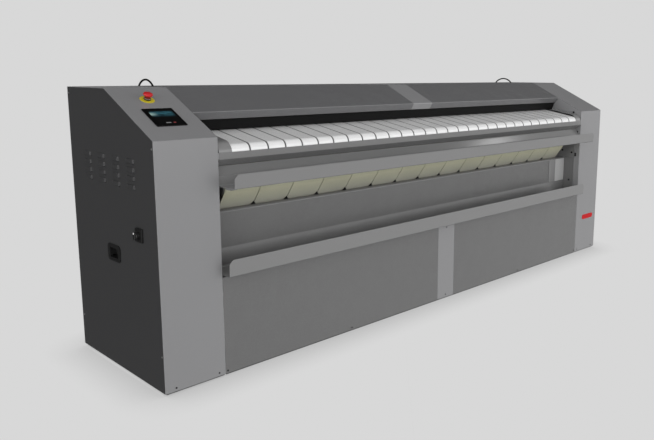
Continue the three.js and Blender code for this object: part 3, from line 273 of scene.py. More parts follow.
def turned(name, steps, place, axis, sides=32):
    """A round body along an axis: a disc is extruded and scaled from step to step."""
    fresh()
    first = steps[0]
    bpy.ops.mesh.primitive_circle_add(vertices=sides, radius=first[0] * MM, fill_type="NGON")
    obj = bpy.context.object
    with editing(obj):
        bpy.ops.mesh.select_all(action="SELECT")
        push(z=first[1])
        for before, after in zip(steps, steps[1:]):
            pull_out(z=after[1] - before[1])
            share = after[0] / before[0]
            bpy.ops.transform.resize(value=(share, share, 1), center_override=(0, 0, 0))
        bpy.ops.mesh.select_all(action="SELECT")
        bpy.ops.mesh.normals_make_consistent(inside=False)
    obj.rotation_mode = "QUATERNION"
    obj.rotation_quaternion = Vector((0, 0, 1)).rotation_difference(axis)
    obj.location = place
    return seated(name)


def strip(name, points, along):
    """The first face of a sheet: from the first point to the second, as wide as along."""
    run = points[1] - points[0]
    axes = Matrix((along.normalized(), run.normalized(), along.cross(run).normalized()))
    fresh()
    bpy.ops.mesh.primitive_plane_add(
        size=1,
        location=(points[0] + points[1] + along) / 2,
        rotation=axes.transposed().to_euler(),
    )
    return seated(name, (along.length, run.length, 1))


def beside(place, along):
    """A test for edges that lie on the line through a place."""
    way = along.normalized()

    def lies(point):
        gap = point - place
        return (gap - gap.dot(way) * way).length < TOUCH

    return lambda edge: all(lies(v.co) for v in edge.verts)


def folded(name, points, along, radii, segments=4):
    """A sheet's skin, extruded from fold to fold, with each fold rounded by its radius."""
    obj = strip(name, points, along)
    with editing(obj):
        for before, after in zip(points[1:], points[2:]):
            pick(obj, "EDGE", beside(before, along))
            bpy.ops.mesh.extrude_region_move(TRANSFORM_OT_translate={"value": after - before})
        for (before, fold, after), radius in zip(zip(points, points[1:], points[2:]), radii):
            turn = (fold - before).angle(after - fold)
            if radius and turn > STRAIGHT:
                pick(obj, "EDGE", beside(fold, along))
                rounded(radius * math.tan(turn / 2), segments)
    return obj


def modified(obj, kind, **values):
    """Add a modifier, set it and apply it."""
    take(obj)
    bpy.ops.object.modifier_add(type=kind)
    modifier = obj.modifiers[-1]
    for key, value in values.items():
        setattr(modifier, key, value)
    bpy.ops.object.modifier_apply(modifier=modifier.name)
    return obj


def thickened(obj, thickness, side=1):
    """Give a skin its thickness, towards its normals or away from them."""
    return modified(
        obj, "SOLIDIFY", thickness=thickness * MM, offset=side, use_even_offset=True
    )


def softened(obj, width=0.4, segments=2, angle=35):
    """Break the sharp edges and shade what is left by angle."""
    modified(
        obj,
        "BEVEL",
        width=width * MM,
        segments=segments,
        limit_method="ANGLE",
        angle_limit=math.radians(angle),
        harden_normals=False,
    )
    return smooth(obj)


def smooth(obj, angle=35):
    """Shade smooth, with edges above the angle left sharp and flats kept flat."""
    take(obj)
    bpy.ops.object.shade_smooth_by_angle(angle=math.radians(angle))
    return modified(obj, "WEIGHTED_NORMAL", mode="FACE_AREA", weight=50, keep_sharp=True)


def joined(name, *pieces):
    """One piece made of several."""
    fresh()
    for piece in pieces:
        piece.select_set(True)
    bpy.context.view_layer.objects.active = pieces[0]
    bpy.ops.object.join()
    obj = bpy.context.object
    obj.name = name
    obj.data.name = name
    return obj


def copied(obj, name, move=Matrix.Identity(4)):
    """A copy with its own mesh, moved inside that mesh."""
    twin = obj.copy()
    twin.data = obj.data.copy()
    twin.name = name
    twin.data.name = name
    twin.data.transform(move)
    bpy.context.scene.collection.objects.link(twin)
    return twin


def dress(obj, slot, body="chassis", nodes=(), look=None):
    """Give a finished piece its material and body, and hide the solids it stands for."""
    obj.data.materials.clear()
    obj.data.materials.append(material(look or slot))
    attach(obj, body)
    if nodes:
        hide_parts(*nodes)
    return obj


def line_points(line, x):
    """A line of (y, z) places as points at one x."""
    return [spot(x, y, z) for y, z in line]


def bent_sheet(name, line, left, right, radii, thickness=SHEET):
    """A sheet folded along the machine, thick to the left of its line."""
    along = Vector(((right - left) * MM, 0, 0))
    obj = folded(name, line_points(line, left), along, radii)
    return thickened(obj, thickness)


# Materials


class Wire:
    """A shader socket that takes part in Python expressions."""

    def __init__(self, finish, socket):
        self.finish = finish
        self.socket = socket

    def _math(self, operation, first, second):
        sockets = {0: first, 1: second}
        return self.finish.node("ShaderNodeMath", {"operation": operation}, sockets)

    def __add__(self, other):
        return self._math("ADD", self, other)

    def __radd__(self, other):
        return self._math("ADD", other, self)

    def __sub__(self, other):
        return self._math("SUBTRACT", self, other)

    def __rsub__(self, other):
        return self._math("SUBTRACT", other, self)

    def __mul__(self, other):
        return self._math("MULTIPLY", self, other)

    def __rmul__(self, other):
        return self._math("MULTIPLY", other, self)

    def __pow__(self, other):
        return self._math("POWER", self, other)


class Finish:
    """The node tree of one material or world, with its nodes made by one method."""

    def __init__(self, owner):
        self.owner = owner
        owner.use_nodes = True
        self.tree = owner.node_tree
        self.tree.nodes.clear()

    def node(self, kind, settings=None, sockets=None, out=0):
        """A node with its settings and then its sockets set, and one of its outputs."""
        made = self.tree.nodes.new(kind)
        for key, value in (settings or {}).items():
            if key == "stops":
                self._stops(made.color_ramp, value)
            else:
                setattr(made, key, value)
        for key, value in (sockets or {}).items():
            if isinstance(value, Wire):
                self.tree.links.new(value.socket, made.inputs[key])
            else:
                made.inputs[key].default_value = value
        return Wire(self, made.outputs[out]) if made.outputs else made

    @staticmethod
    def _stops(ramp, stops):
        for element, (place, colour) in zip(ramp.elements, stops):
            element.position, element.color = place, colour
        for place, colour in stops[2:]:
            ramp.elements.new(place).color = colour

    def place(self):
        """Object coordinates."""
        return self.node("ShaderNodeTexCoord", out="Object")

    def apart(self, vector, axis):
        """One part of a vector."""
        return self.node("ShaderNodeSeparateXYZ", None, {0: vector}, out=axis)

    def stretched(self, vector, scale):
        """A vector scaled on each axis."""
        return self.node("ShaderNodeMapping", None, {"Vector": vector, "Scale": scale})

    def noise(self, vector, scale, detail=2.0, rough=0.5):
        """Noise from 0 to 1."""
        sockets = {"Vector": vector, "Scale": scale, "Detail": detail, "Roughness": rough}
        return self.node("ShaderNodeTexNoise", None, sockets)

    def spread(self, value, low, high, to_low, to_high):
        """A value taken from one range to another, clamped."""
        names = ("Value", "From Min", "From Max", "To Min", "To Max")
        sockets = dict(zip(names, (value, low, high, to_low, to_high)))
        return self.node("ShaderNodeMapRange", None, sockets)

    def wave(self, value):
        """The sine of a value."""
        return self.node("ShaderNodeMath", {"operation": "SINE"}, {0: value})

    def blend(self, share, first, second):
        """A mix of two colours."""
        sockets = {0: share, 6: first, 7: second}
        return self.node("ShaderNodeMix", {"data_type": "RGBA"}, sockets, out=2)

    def bump(self, height, strength, distance):
        """A normal from a height in metres."""
        sockets = {"Height": height, "Strength": strength, "Distance": distance}
        return self.node("ShaderNodeBump", None, sockets)

    def close(self, **values):
        """The surface shader and the output."""
        sockets = {key.replace("_", " "): value for key, value in values.items()}
        shader = self.node("ShaderNodeBsdfPrincipled", None, sockets)
        self.node("ShaderNodeOutputMaterial", None, {"Surface": shader})
        return self.owner


def shade(value, tint=(1, 1, 1)):
    """A colour from a grey value and a tint."""
    return (value * tint[0], value * tint[1], value * tint[2], 1)


# The stretch from 0 to 1 that most of a noise fills, and one a little wider
NOISE_RANGE = (0.3, 0.7)
WIDE_RANGE = (0.2, 0.8)


def paint(name, colour, rough, grain=900.0, lift=0.00003, tone=0.015, ior=1.5, dust=0):
    """Powder coat: fine orange peel, a slow change of tone and dull dust above a height."""
    dust_rough, dust_start, dust_full = 0.8, dust - 0.0006, dust - 0.0002
    finish = Finish(bpy.data.materials.new(name))
    place = finish.place()
    slow = finish.noise(place, scale=2.5, detail=3)
    fine = finish.noise(place, scale=grain, detail=2)
    gloss = finish.spread(fine * 0.7 + slow * 0.3, *NOISE_RANGE, rough - 0.025, rough + 0.03)
    if dust:
        lying = finish.spread(finish.apart(place, "Z"), dust_start, dust_full, 0, 1)
        gloss = gloss + lying * (dust_rough - rough)
    return finish.close(
        Base_Color=finish.blend(slow, shade(1 - tone, colour), shade(1 + tone, colour)),
        Roughness=gloss,
        Normal=finish.bump(fine, 0.35, lift),
        IOR=ior,
    )


def plastic(name, colour, rough, grain=1400.0, lift=0.00002):
    """Moulded plastic with a fine eroded grain."""
    finish = Finish(bpy.data.materials.new(name))
    place = finish.place()
    fine = finish.noise(place, scale=grain, detail=3)
    slow = finish.noise(place, scale=30, detail=2)
    return finish.close(
        Base_Color=finish.blend(slow, shade(0.92, colour), shade(1.08, colour)),
        Roughness=finish.spread(fine, *NOISE_RANGE, rough - 0.05, rough + 0.06),
        Normal=finish.bump(fine, 0.4, lift),
    )


def turned_steel(name, colour, rough, pitch=4000.0):
    """Steel turned on a lathe: fine rings along x and a slow change of gloss."""
    across = 0.02
    finish = Finish(bpy.data.materials.new(name))
    place = finish.place()
    rings = finish.noise(finish.stretched(place, (1, across, across)), scale=pitch, detail=2)
    slow = finish.noise(place, scale=6, detail=3)
    gloss = rings * 0.5 + slow * 0.5
    return finish.close(
        Base_Color=finish.blend(slow, shade(0.9, colour), shade(1.06, colour)),
        Metallic=1.0,
        Roughness=finish.spread(gloss, *NOISE_RANGE, rough - 0.06, rough + 0.08),
        Normal=finish.bump(rings, 0.25, 0.00002),
    )


def rough_metal(name, colour, rough, metal=1.0, spangle=60.0):
    """Sheet zinc or worked steel with cloudy spangles."""
    finish = Finish(bpy.data.materials.new(name))
    place = finish.place()
    cells = finish.node("ShaderNodeTexVoronoi", None, {"Vector": place, "Scale": spangle})
    fine = finish.noise(place, scale=500, detail=4)
    cloud = cells * 0.7 + fine * 0.3
    gloss = cells * 0.5 + fine * 0.5
    return finish.close(
        Base_Color=finish.blend(cloud, shade(0.85, colour), shade(1.12, colour)),
        Metallic=metal,
        Roughness=finish.spread(gloss, *WIDE_RANGE, rough - 0.1, rough + 0.1),
        Normal=finish.bump(fine, 0.3, 0.00004),
    )


def woven(name, light, dark, thread, rough, lift, ior, pitch, gap_shade_reach):
    """Plain weave in metres across and along the band, with painted shade along both edges at the
    gaps.
    """
    gap_shade_fade, gap_shade_tone = 0.0006, 0.16
    finish = Finish(bpy.data.materials.new(name))
    map_place = finish.node("ShaderNodeUVMap", {"uv_map": "Weave"})
    turn = 2 * math.pi / thread
    across = finish.wave(finish.apart(map_place, "X") * turn)
    along = finish.wave(finish.apart(map_place, "Y") * turn)
    weave = across * along * 0.5 + 0.5
    slow = finish.noise(finish.place(), scale=9, detail=4)
    fibre = finish.noise(finish.place(), scale=1800, detail=3)
    share = finish.spread(weave * 0.35 + slow * 0.45 + fibre * 0.2, 0.25, 0.75, 0, 1)
    # Painted shade: a dark stripe along each band's edges, where the gaps between bands fall
    rhythm = finish.wave(finish.apart(map_place, "X") * (2 * math.pi / pitch) + math.pi / 2)
    reaches = (gap_shade_reach + gap_shade_fade, gap_shade_reach)
    inner, outer = (math.cos(2 * math.pi * reach / pitch) for reach in reaches)
    edge = finish.spread(rhythm, inner, outer, 0, 1)
    return finish.close(
        Base_Color=finish.blend(edge, finish.blend(share, dark, light), shade(gap_shade_tone)),
        Roughness=finish.spread(fibre, *WIDE_RANGE, rough - 0.06, rough + 0.06),
        Normal=finish.bump(weave * 0.7 + fibre * 0.3, 0.5, lift),
        IOR=ior,
    )


def felt(name, light, dark, shade_heights):
    """Needle felt: crossing fibres, small specks, and painted shade darkening it towards the comb.
    """
    painted_shade_share, painted_shade_tone = 0.6, 0.2
    finish = Finish(bpy.data.materials.new(name))
    place = finish.place()
    fibres = finish.noise(finish.stretched(place, (3, 1, 1)), scale=420, detail=6, rough=0.7)
    specks = finish.noise(place, scale=160, detail=5, rough=0.75)
    slow = finish.noise(place, scale=5, detail=3)
    share = finish.spread(specks * 0.6 + slow * 0.4, *NOISE_RANGE, 0, 1)
    # Painted shade: the felt darkens towards the bottom between two heights
    painted_shade = finish.spread(finish.apart(place, "Z"), *shade_heights, painted_shade_share, 0)
    plain = finish.blend(share, dark, light)
    return finish.close(
        Base_Color=finish.blend(painted_shade, plain, shade(painted_shade_tone)),
        Roughness=finish.spread(fibres, *WIDE_RANGE, 0.85, 0.98),
        Normal=finish.bump(fibres * 0.6 + specks * 0.4, 0.6, 0.0006),
    )


GLASS_IOR = 1.35


def finger_marks(finish):
    """Smears on glass, and the roughness that they give it."""
    marks = finish.noise(finish.place(), scale=45, detail=5, rough=0.65)
    return marks, finish.spread(marks, 0.45, 0.7, 0.04, 0.16)


def glass_black(name):
    """Black screen glass with faint finger marks."""
    finish = Finish(bpy.data.materials.new(name))
    marks, gloss = finger_marks(finish)
    colour = finish.blend(marks, shade(0.0008), shade(0.0016))
    return finish.close(Base_Color=colour, Roughness=gloss, IOR=GLASS_IOR)


def screen_picture(name):
    """The lit part of the screen: a plain teal sky over a dark ground and two small bars."""
    finish = Finish(bpy.data.materials.new(name))
    place = finish.node("ShaderNodeUVMap", {"uv_map": "Screen"})
    across, up = finish.apart(place, "X"), finish.apart(place, "Y")
    cloud = finish.noise(finish.stretched(place, (1.2, 4, 1)), scale=3, detail=4, rough=0.6)
    sky = finish.spread(up, 0.48, 0.72, 0, 1) * finish.spread(cloud, 0.35, 0.65, 0.25, 1)
    sky = sky * finish.spread(up, 0.9, 0.82, 0, 1) * finish.spread(across, 0.0, 0.1, 0, 1)
    sky = sky * finish.spread(across, 1.0, 0.88, 0, 1)
    glow = finish.spread(across, 0.3, 0.0, 0, 1) * finish.spread(up, 0.55, 0.68, 0, 1)
    glow = glow * finish.spread(up, 0.84, 0.72, 0, 1)

    def bar(left, right):
        ends = finish.spread(across, left, left + 0.02, 0, 1)
        ends = ends * finish.spread(across, right, right - 0.02, 0, 1)
        return ends * finish.spread(up, 0.06, 0.07, 0, 1) * finish.spread(up, 0.13, 0.12, 0, 1)

    teal, pale_teal, pale_red = (0.03, 0.115, 0.15, 1), (0.35, 0.5, 0.46, 1), (0.3, 0.06, 0.06, 1)
    picture = finish.blend(sky, shade(0.001), teal)
    picture = finish.blend(glow * 0.8, picture, pale_teal)
    picture = finish.blend(bar(0.3, 0.52) * 0.5, picture, shade(0.35))
    picture = finish.blend(bar(0.6, 0.72) * 0.7, picture, pale_red)
    return finish.close(
        Base_Color=shade(0.001),
        Roughness=finger_marks(finish)[1],
        IOR=GLASS_IOR,
        Emission_Color=picture,
        Emission_Strength=1.0,
    )


TOP_LEVEL = ORIGIN.z + HEIGHT * MM
COARSE = {"grain": 700, "lift": 0.00005}
CAST_BLUE = (0.05, 0.07, 0.085)
SCORCHED = (0.2, 0.15, 0.11)
STOP_SHADOW = (0.16, 0.004, 0.006)
FELT_DARK_SPECK = (0.42, 0.415, 0.3)
# Heights in metres between which painted shade darkens the ironing felt towards the bottom
FELT_SHADE_HEIGHTS = (0.75, 0.815)
FEED_DARK_TONE = 0.76 / 0.82
THREAD = 0.0016


def chosen():
    """The colours set in the panel."""
    return bpy.context.scene.ironer_colours


def grey_paint(name):
    """The cabinets' paint, dusty on the flat tops."""
    return paint(name, chosen().cabinet, 0.24, ior=1.75, dust=TOP_LEVEL)


def feed_fabric(name):
    """White woven fabric, with painted shade along both edges of each band at the gaps."""
    light, dark = shade(1, chosen().feed_band), shade(FEED_DARK_TONE, chosen().feed_band)
    weave = {"thread": THREAD, "pitch": FEED_PITCH, "gap_shade_reach": GAP_SHADE_REACH}
    return woven(name, light, dark, rough=0.3, lift=0.00006, ior=2.0, **weave)


def iron_fabric(name):
    """Cream felt, darkened between two heights of the front run by painted shade."""
    return felt(name, shade(1, chosen().iron_band), shade(1, FELT_DARK_SPECK), FELT_SHADE_HEIGHTS)


MAKERS = {
    "dark_paint": lambda name: paint(name, chosen().side, 0.3, **COARSE),
    "grey_paint": grey_paint,
    "hood_paint": lambda name: paint(name, chosen().hood, 0.26, ior=1.6, dust=TOP_LEVEL),
    "sheet_paint": lambda name: paint(name, chosen().sheet, 0.24, ior=1.65),
    # Lighter than the sides' dark paint: painted light on the unlit back
    "back_paint": lambda name: paint(name, chosen().back, 0.35, **COARSE),
    "bracket_paint": lambda name: paint(name, shade(0.17), 0.3, ior=1.6),
    "nose_paint": lambda name: paint(name, shade(0.185), 0.26, ior=1.6),
    # Pale: painted reflection of the right-hand wall and post in the tray's back
    "strip_paint": lambda name: paint(name, shade(0.42), 0.24, ior=1.7),
    # Darker than the trough's sheet paint: painted shade under the nose bar
    "wall_paint": lambda name: paint(name, shade(0.15), 0.15, ior=1.6),
    "post_steel": lambda name: paint(name, shade(0.15), 0.35),
    # Near-black, so that the gaps between the feed bands read dark: painted shade
    "drum_cover": lambda name: paint(name, shade(0.03), 0.6, grain=600, lift=0.00005),
    "panel_paint": lambda name: paint(name, chosen().panel, 0.27, ior=1.6),
    "black_paint": lambda name: paint(name, shade(0.009), 0.5, ior=1.15),
    "frame_paint": lambda name: paint(name, shade(0.07), 0.45, grain=400, lift=0.0001),
    "casting_paint": lambda name: paint(name, CAST_BLUE, 0.45, grain=180, lift=0.0003),
    "roller_steel": lambda name: turned_steel(name, shade(0.42), 0.32),
    "polished_steel": lambda name: turned_steel(name, shade(0.6), 0.16),
    "heater_steel": lambda name: rough_metal(name, SCORCHED, 0.5, metal=0.8),
    "drive_steel": lambda name: rough_metal(name, shade(0.3), 0.4),
    "chain_steel": lambda name: rough_metal(name, shade(0.13), 0.45, metal=0.9),
    "sheet_zinc": lambda name: rough_metal(name, shade(0.5), 0.38, spangle=25),
    "feed_fabric": feed_fabric,
    "iron_fabric": iron_fabric,
    "foot_rubber": lambda name: plastic(name, shade(0.02), 0.7, grain=700),
    "screen_black": glass_black,
    "black_plastic": lambda name: plastic(name, shade(0.009), 0.38),
    "yellow_plastic": lambda name: plastic(name, chosen().stop_disc, 0.4),
    "red_plastic": lambda name: plastic(name, chosen().stop, 0.32),
    "red_shadow": lambda name: plastic(name, STOP_SHADOW, 0.4),
    # White patch on the isolator's grip where a glint shows: painted highlight
    "white_mark": lambda name: plastic(name, shade(0.75), 0.3),
    "screen_picture": screen_picture,
    "red_plate": lambda name: paint(name, chosen().plate, 0.3, grain=700, ior=1.25),
}


def material(look):
    """The material of a slot or look, made the first time it is asked for."""
    return bpy.data.materials.get(look + "_finish") or MAKERS[look](look + "_finish")


# Settings of the panel


def number_setting(name, description, default, **more):
    """A number that a user may change."""
    return bpy.props.FloatProperty(name=name, description=description, default=default, **more)


def colour_setting(name, description, default):
    """A colour that a user may change, as scene-linear red, green and blue."""
    return bpy.props.FloatVectorProperty(
        name=name, description=description, default=default, subtype="COLOR", min=0, max=1
    )


class IronerSizes(bpy.types.PropertyGroup):
    """Sizes that a maker of the machine would change."""

    bend: number_setting(
        "Bend radius",
        "Outer radius of the folds in the covers",
        3 * MM,
        min=2.1 * MM,
        unit="LENGTH",
    )
    edge: number_setting(
        "Broken edge", "Width of the broken edges of the hood's sheets", 0.4 * MM, unit="LENGTH"
    )
    louvre_depth: number_setting(
        "Louvre depth",
        "How far the louvres stand out of the side panels",
        6 * MM,
        max=6 * MM,
        unit="LENGTH",
    )
    screw_radius: number_setting(
        "Screw radius", "Radius of the heads of the cover screws", 4 * MM, unit="LENGTH"
    )


class IronerColours(bpy.types.PropertyGroup):
    """Colours that a maker of the machine would change."""

    cabinet: colour_setting(
        "Cabinets", "Paint of the front covers, top covers and strips", (0.243, 0.243, 0.248)
    )
    side: colour_setting("Sides", "Paint of the side panels", (0.04, 0.04, 0.041))
    # Lighter than the sides' paint: painted light on the unlit back
    back: colour_setting("Back", "Paint of the back covers", (0.11, 0.11, 0.11))
    hood: colour_setting("Hood", "Paint of the hood's two panels", (0.13, 0.13, 0.134))
    panel: colour_setting(
        "Lower front", "Paint of the lower front and the tray's back", (0.143, 0.143, 0.143)
    )
    sheet: colour_setting(
        "Trough and tray", "Paint of the trough and the tray", (0.215, 0.215, 0.215)
    )
    feed_band: colour_setting("Feed bands", "Fabric of the feed bands", (0.82, 0.82, 0.82))
    iron_band: colour_setting("Ironing bands", "Felt of the ironing bands", (0.53, 0.525, 0.39))
    plate: colour_setting(
        "Plate", "Paint of the plain plate on the right cover", (0.52, 0.006, 0.01)
    )
    stop: colour_setting(
        "Stop button", "Plastic of the emergency stop's button", (0.55, 0.014, 0.018)
    )
    stop_disc: colour_setting(
        "Stop disc", "Plastic of the emergency stop's disc", (0.62, 0.5, 0.02)
    )


class IronerStage(bpy.types.PropertyGroup):
    """Light and camera of the picture."""

    background: number_setting("Background", "Brightness of the backdrop and the floor", 0.686)
    front_light: number_setting(
        "Front light", "Brightness of the surroundings in front of the machine", 2.3
    )
    left_light: number_setting("Left light", "Brightness of the surroundings at the left end", 2.2)
    back_light: number_setting(
        "Back light", "Brightness behind the machine, which only scattered light sees", 2.5
    )
    low_light: number_setting("Low light", "Brightness low in front of the machine's two ends", 0.5)
    floor_light: number_setting(
        "Floor light", "Brightness of the light that the floor throws back up", 0.62
    )
    lamp: number_setting("Lamp", "Power of the small soft lamp at the front right", 6, unit="POWER")
    top_light: number_setting("Top light", "Brightness of the surroundings above the machine", 0.6)
    side_light: number_setting(
        "Side light", "Brightness of all the surroundings, added to the rest", 0.04
    )
    lens: number_setting("Lens", "Focal length of the camera in millimetres, for its sensor", 38.2)


def sizes():
    """The sizes set in the panel."""
    return bpy.context.scene.ironer_sizes


class IronerPiece:
    """What the operators share."""

    bl_options = {"REGISTER", "UNDO"}

    def finished(self):
        """Leave nothing selected, and say that the piece is made."""
        fresh()
        return {"FINISHED"}


# Cabinets


def slope_plane(side_cut):
    """A place and normal of the plane that trims a cabinet wall under its sloping top."""
    drop = side_cut / math.cos(SLOPE)
    return spot(0, 0, FRONT - drop), Vector((0, -math.sin(SLOPE), math.cos(SLOPE)))


LOUVRE_COUNT = 4
LOUVRE_FIRST = (209, 986.8)
LOUVRE_PITCH = (141, 36.6)
LOUVRE_Y = [LOUVRE_FIRST[0] + LOUVRE_PITCH[0] * i for i in range(LOUVRE_COUNT)]
LOUVRE_Z = [LOUVRE_FIRST[1] - LOUVRE_PITCH[1] * i for i in range(LOUVRE_COUNT)]
LOUVRE_HALF = 37
LOUVRE_TOP = 2
LOUVRE_LIP = -17
LOUVRE_SLOT = 2.5
LOUVRE_END = 10
LOUVRE_RISE = 4
LOUVRE_STAND = 0.2
LOUVRE_BEVEL_ANGLE = 15
HANDLE_HOLE = (41.4, 25.4)


def in_louvre(point):
    """Whether a point in metres lies in the outline of a louvre."""
    place = (point - ORIGIN) / MM
    fits_y = any(abs(place.y - y) < LOUVRE_HALF for y in LOUVRE_Y)
    return fits_y and any(z + LOUVRE_LIP < place.z < z + LOUVRE_TOP for z in LOUVRE_Z)


def in_slot(point):
    """Whether a point in metres lies in the open slot under a louvre's lip."""
    place = (point - ORIGIN) / MM
    fits_y = any(abs(place.y - y) < LOUVRE_HALF for y in LOUVRE_Y)
    lips = [z + LOUVRE_LIP for z in LOUVRE_Z]
    return fits_y and any(lip - LOUVRE_SLOT < place.z < lip for lip in lips)


def press_louvres(obj, side):
    """Press the louvres out of a side panel's skin and open them below."""
    reach = sizes().louvre_depth / MM
    for y in LOUVRE_Y:
        for end in (-LOUVRE_HALF, LOUVRE_HALF):
            scored(spot(0, y + end, 0), (0, 1, 0))
    for z in LOUVRE_Z:
        for end in (LOUVRE_LIP - LOUVRE_SLOT, LOUVRE_LIP, LOUVRE_TOP):
            scored(spot(0, 0, z + end), (0, 0, 1))
    pick(obj, "FACE", lambda face: in_louvre(face.calc_center_median()))
    pull_out(x=side * reach)
    proud = ORIGIN.x + side * (HALF + reach / 2) * MM

    def out(vertex):
        return (vertex.co.x - proud) * side > 0

    def near(value, places):
        return any(abs(value / MM - place) < CLOSE for place in places)

    tops = [z + LOUVRE_TOP for z in LOUVRE_Z]
    pick(obj, "VERT", lambda v: out(v) and near(v.co.z - ORIGIN.z, tops))
    push(x=-side * (reach - LOUVRE_RISE))
    for end in (-1, 1):
        ends = [y + end * LOUVRE_HALF for y in LOUVRE_Y]
        pick(obj, "VERT", lambda v: near(v.co.y - ORIGIN.y, ends) and out_of(v, side))
        push(y=-end * LOUVRE_END)
    lips = [z + LOUVRE_LIP for z in LOUVRE_Z]
    pick(
        obj,
        "FACE",
        lambda f: abs(f.normal.z) > FACING and near(f.calc_center_median().z - ORIGIN.z, lips),
    )
    bpy.ops.mesh.delete(type="FACE")
    pick(obj, "FACE", lambda f: in_slot(f.calc_center_median()))
    bpy.ops.mesh.delete(type="FACE")


def out_of(vertex, side):
    """Whether a vertex stands out of the side panel."""
    return (vertex.co.x - ORIGIN.x) * side > (HALF + LOUVRE_STAND) * MM


def side_panel(side, name):
    """A side panel: a sheet trimmed under the slope, with its louvres."""
    inset = SHEET + SEAM
    points = [spot(side * HALF, inset, 0), spot(side * HALF, DEPTH - inset, 0)]
    up = Vector((0, 0, (HEIGHT - inset) * MM))
    if side < 0:
        points.reverse()
    obj = strip(name, [points[0], points[0] + up], points[1] - points[0])
    with editing(obj):
        bpy.ops.mesh.select_all(action="SELECT")
        place, normal = slope_plane(inset)
        cut_line(place, normal, clear=True)
        press_louvres(obj, side)
        if side < 0:
            open_handle_hole(obj)
    thickened(obj, SHEET, -1)
    return softened(obj, PRESSED_EDGE, angle=LOUVRE_BEVEL_ANGLE)


def open_handle_hole(obj):
    """Cut the hole for the pull handle's cup."""
    half_y, half_z = HANDLE_HOLE
    for end in (-1, 1):
        scored(spot(0, HANDLE[0] + end * half_y, 0), (0, 1, 0))
        scored(spot(0, 0, HANDLE[1] + end * half_z), (0, 0, 1))
    centre = spot(-HALF, *HANDLE)
    reach = Vector((1, half_y * MM, half_z * MM))

    def inside(face):
        gap = face.calc_center_median() - centre
        return all(abs(gap[i]) < reach[i] for i in range(3))

    pick(obj, "FACE", inside)
    bpy.ops.mesh.delete(type="FACE")


class IRONER_OT_side_panels(IronerPiece, bpy.types.Operator):
    """Dark side panels of the two cabinets, with pressed louvres"""

    bl_idname = "ironer.side_panels"
    bl_label = "Side panels"

    def execute(self, context):
        for side, word in ((-1, "left"), (1, "right")):
            panel = side_panel(side, f"side_cover_{word}")
            dress(panel, "dark_paint", nodes=[f"side_panel_{word}"])
        return self.finished()


COVER_CORNER = 1.6


def front_cover(side, name):
    """A front cover: a flat face with two flanges behind it."""
    near, far = sorted((side * WALL, side * HALF))
    obj = block(name, spot(near, 0, 0), spot(far, SHEET, FRONT - SEAM))
    inset = SHEET + SEAM
    flanges = [(near + inset, near + inset + SHEET), (far - inset - SHEET, far - inset)]
    with editing(obj):
        for pair in flanges:
            for x in pair:
                scored(spot(x, 0, 0), (1, 0, 0))
        for z in (SHEET, FRONT - SEAM - LAP):
            scored(spot(0, 0, z), (0, 0, 1))

        def flange(face):
            place = (face.calc_center_median() - ORIGIN) / MM
            fits = any(a < place.x < b for a, b in flanges)
            return face.normal.y > FACING and fits and SHEET < place.z < FRONT - LAP

        pick(obj, "FACE", flange)
        pull_out(y=LAP - SHEET)
        corners = [near, far]

        def corner(edge):
            place = (middle(edge) - ORIGIN) / MM
            upright = abs(edge.verts[0].co.z - edge.verts[1].co.z) > MM
            reach = min(abs(place.x - c) for c in corners)
            return upright and abs(place.y) < CLOSE and reach < CLOSE

        pick(obj, "EDGE", corner)
        rounded(COVER_CORNER)
    return softened(obj, FINE_EDGE)


class IRONER_OT_front_covers(IronerPiece, bpy.types.Operator):
    """Grey front covers of the two cabinets"""

    bl_idname = "ironer.front_covers"
    bl_label = "Front covers"

    def execute(self, context):
        for side, word in ((-1, "left"), (1, "right")):
            cover = front_cover(side, f"cabinet_front_{word}")
            dress(cover, "grey_paint", nodes=[f"front_cover_{word}"])
        return self.finished()


TOP_FLANGE = 26


def top_cover(side, name):
    """A top cover: the slope, the flat top and the fold down the back."""
    start = (SHEET + SEAM) * math.cos(SLOPE)
    line = [(DEPTH, HEIGHT - TOP_FLANGE), (DEPTH, HEIGHT), (BEND, HEIGHT)]
    line.append((start, FRONT + start * math.tan(SLOPE)))
    bend = sizes().bend / MM
    obj = bent_sheet(name, line, *sorted((side * WALL, side * HALF)), [bend, bend * 2])
    return softened(obj, COVER_EDGE, segments=3)


class IRONER_OT_top_covers(IronerPiece, bpy.types.Operator):
    """Grey sloping top covers of the two cabinets"""

    bl_idname = "ironer.top_covers"
    bl_label = "Top covers"

    def execute(self, context):
        for side, word in ((-1, "left"), (1, "right")):
            cover = top_cover(side, f"cabinet_top_{word}")
            dress(cover, "grey_paint", nodes=[f"top_cover_{word}"])
        return self.finished()


BACK_RIM = 12
BACK_STEP = 1.2
BACK_SINK = 0.5


def back_sheet(name, left, right, foot):
    """A flat back sheet with its edges turned a little."""
    low, high = spot(left, DEPTH - SHEET, foot), spot(right, DEPTH, BACK_TOP)
    obj = block(name, low, high)
    with editing(obj):
        pick(obj, "FACE", lambda face: face.normal.y > FACING)
        bpy.ops.mesh.inset(thickness=BACK_RIM * MM, depth=0)
        bpy.ops.mesh.inset(thickness=BACK_STEP * MM, depth=-BACK_SINK * MM)
    return softened(obj, FINE_EDGE)


class IRONER_OT_back(IronerPiece, bpy.types.Operator):
    """Back covers of the cabinets and the back panel between them"""

    bl_idname = "ironer.back"
    bl_label = "Back covers"

    def execute(self, context):
        # The backs take a lighter grey than their dark paint: painted light on the unlit back
        left = back_sheet("cabinet_back_left", -HALF, -WALL, 0)
        dress(left, "dark_paint", nodes=["back_cover_left"], look="back_paint")
        centre = back_sheet("machine_back", -WALL + SEAM, WALL - SEAM, WALL_FOOT)
        dress(centre, "dark_paint", nodes=["back_panel"], look="back_paint")
        paint_node("back_cover_right", "dark_paint", "back_paint")
        return self.finished()


# Hood and lower front


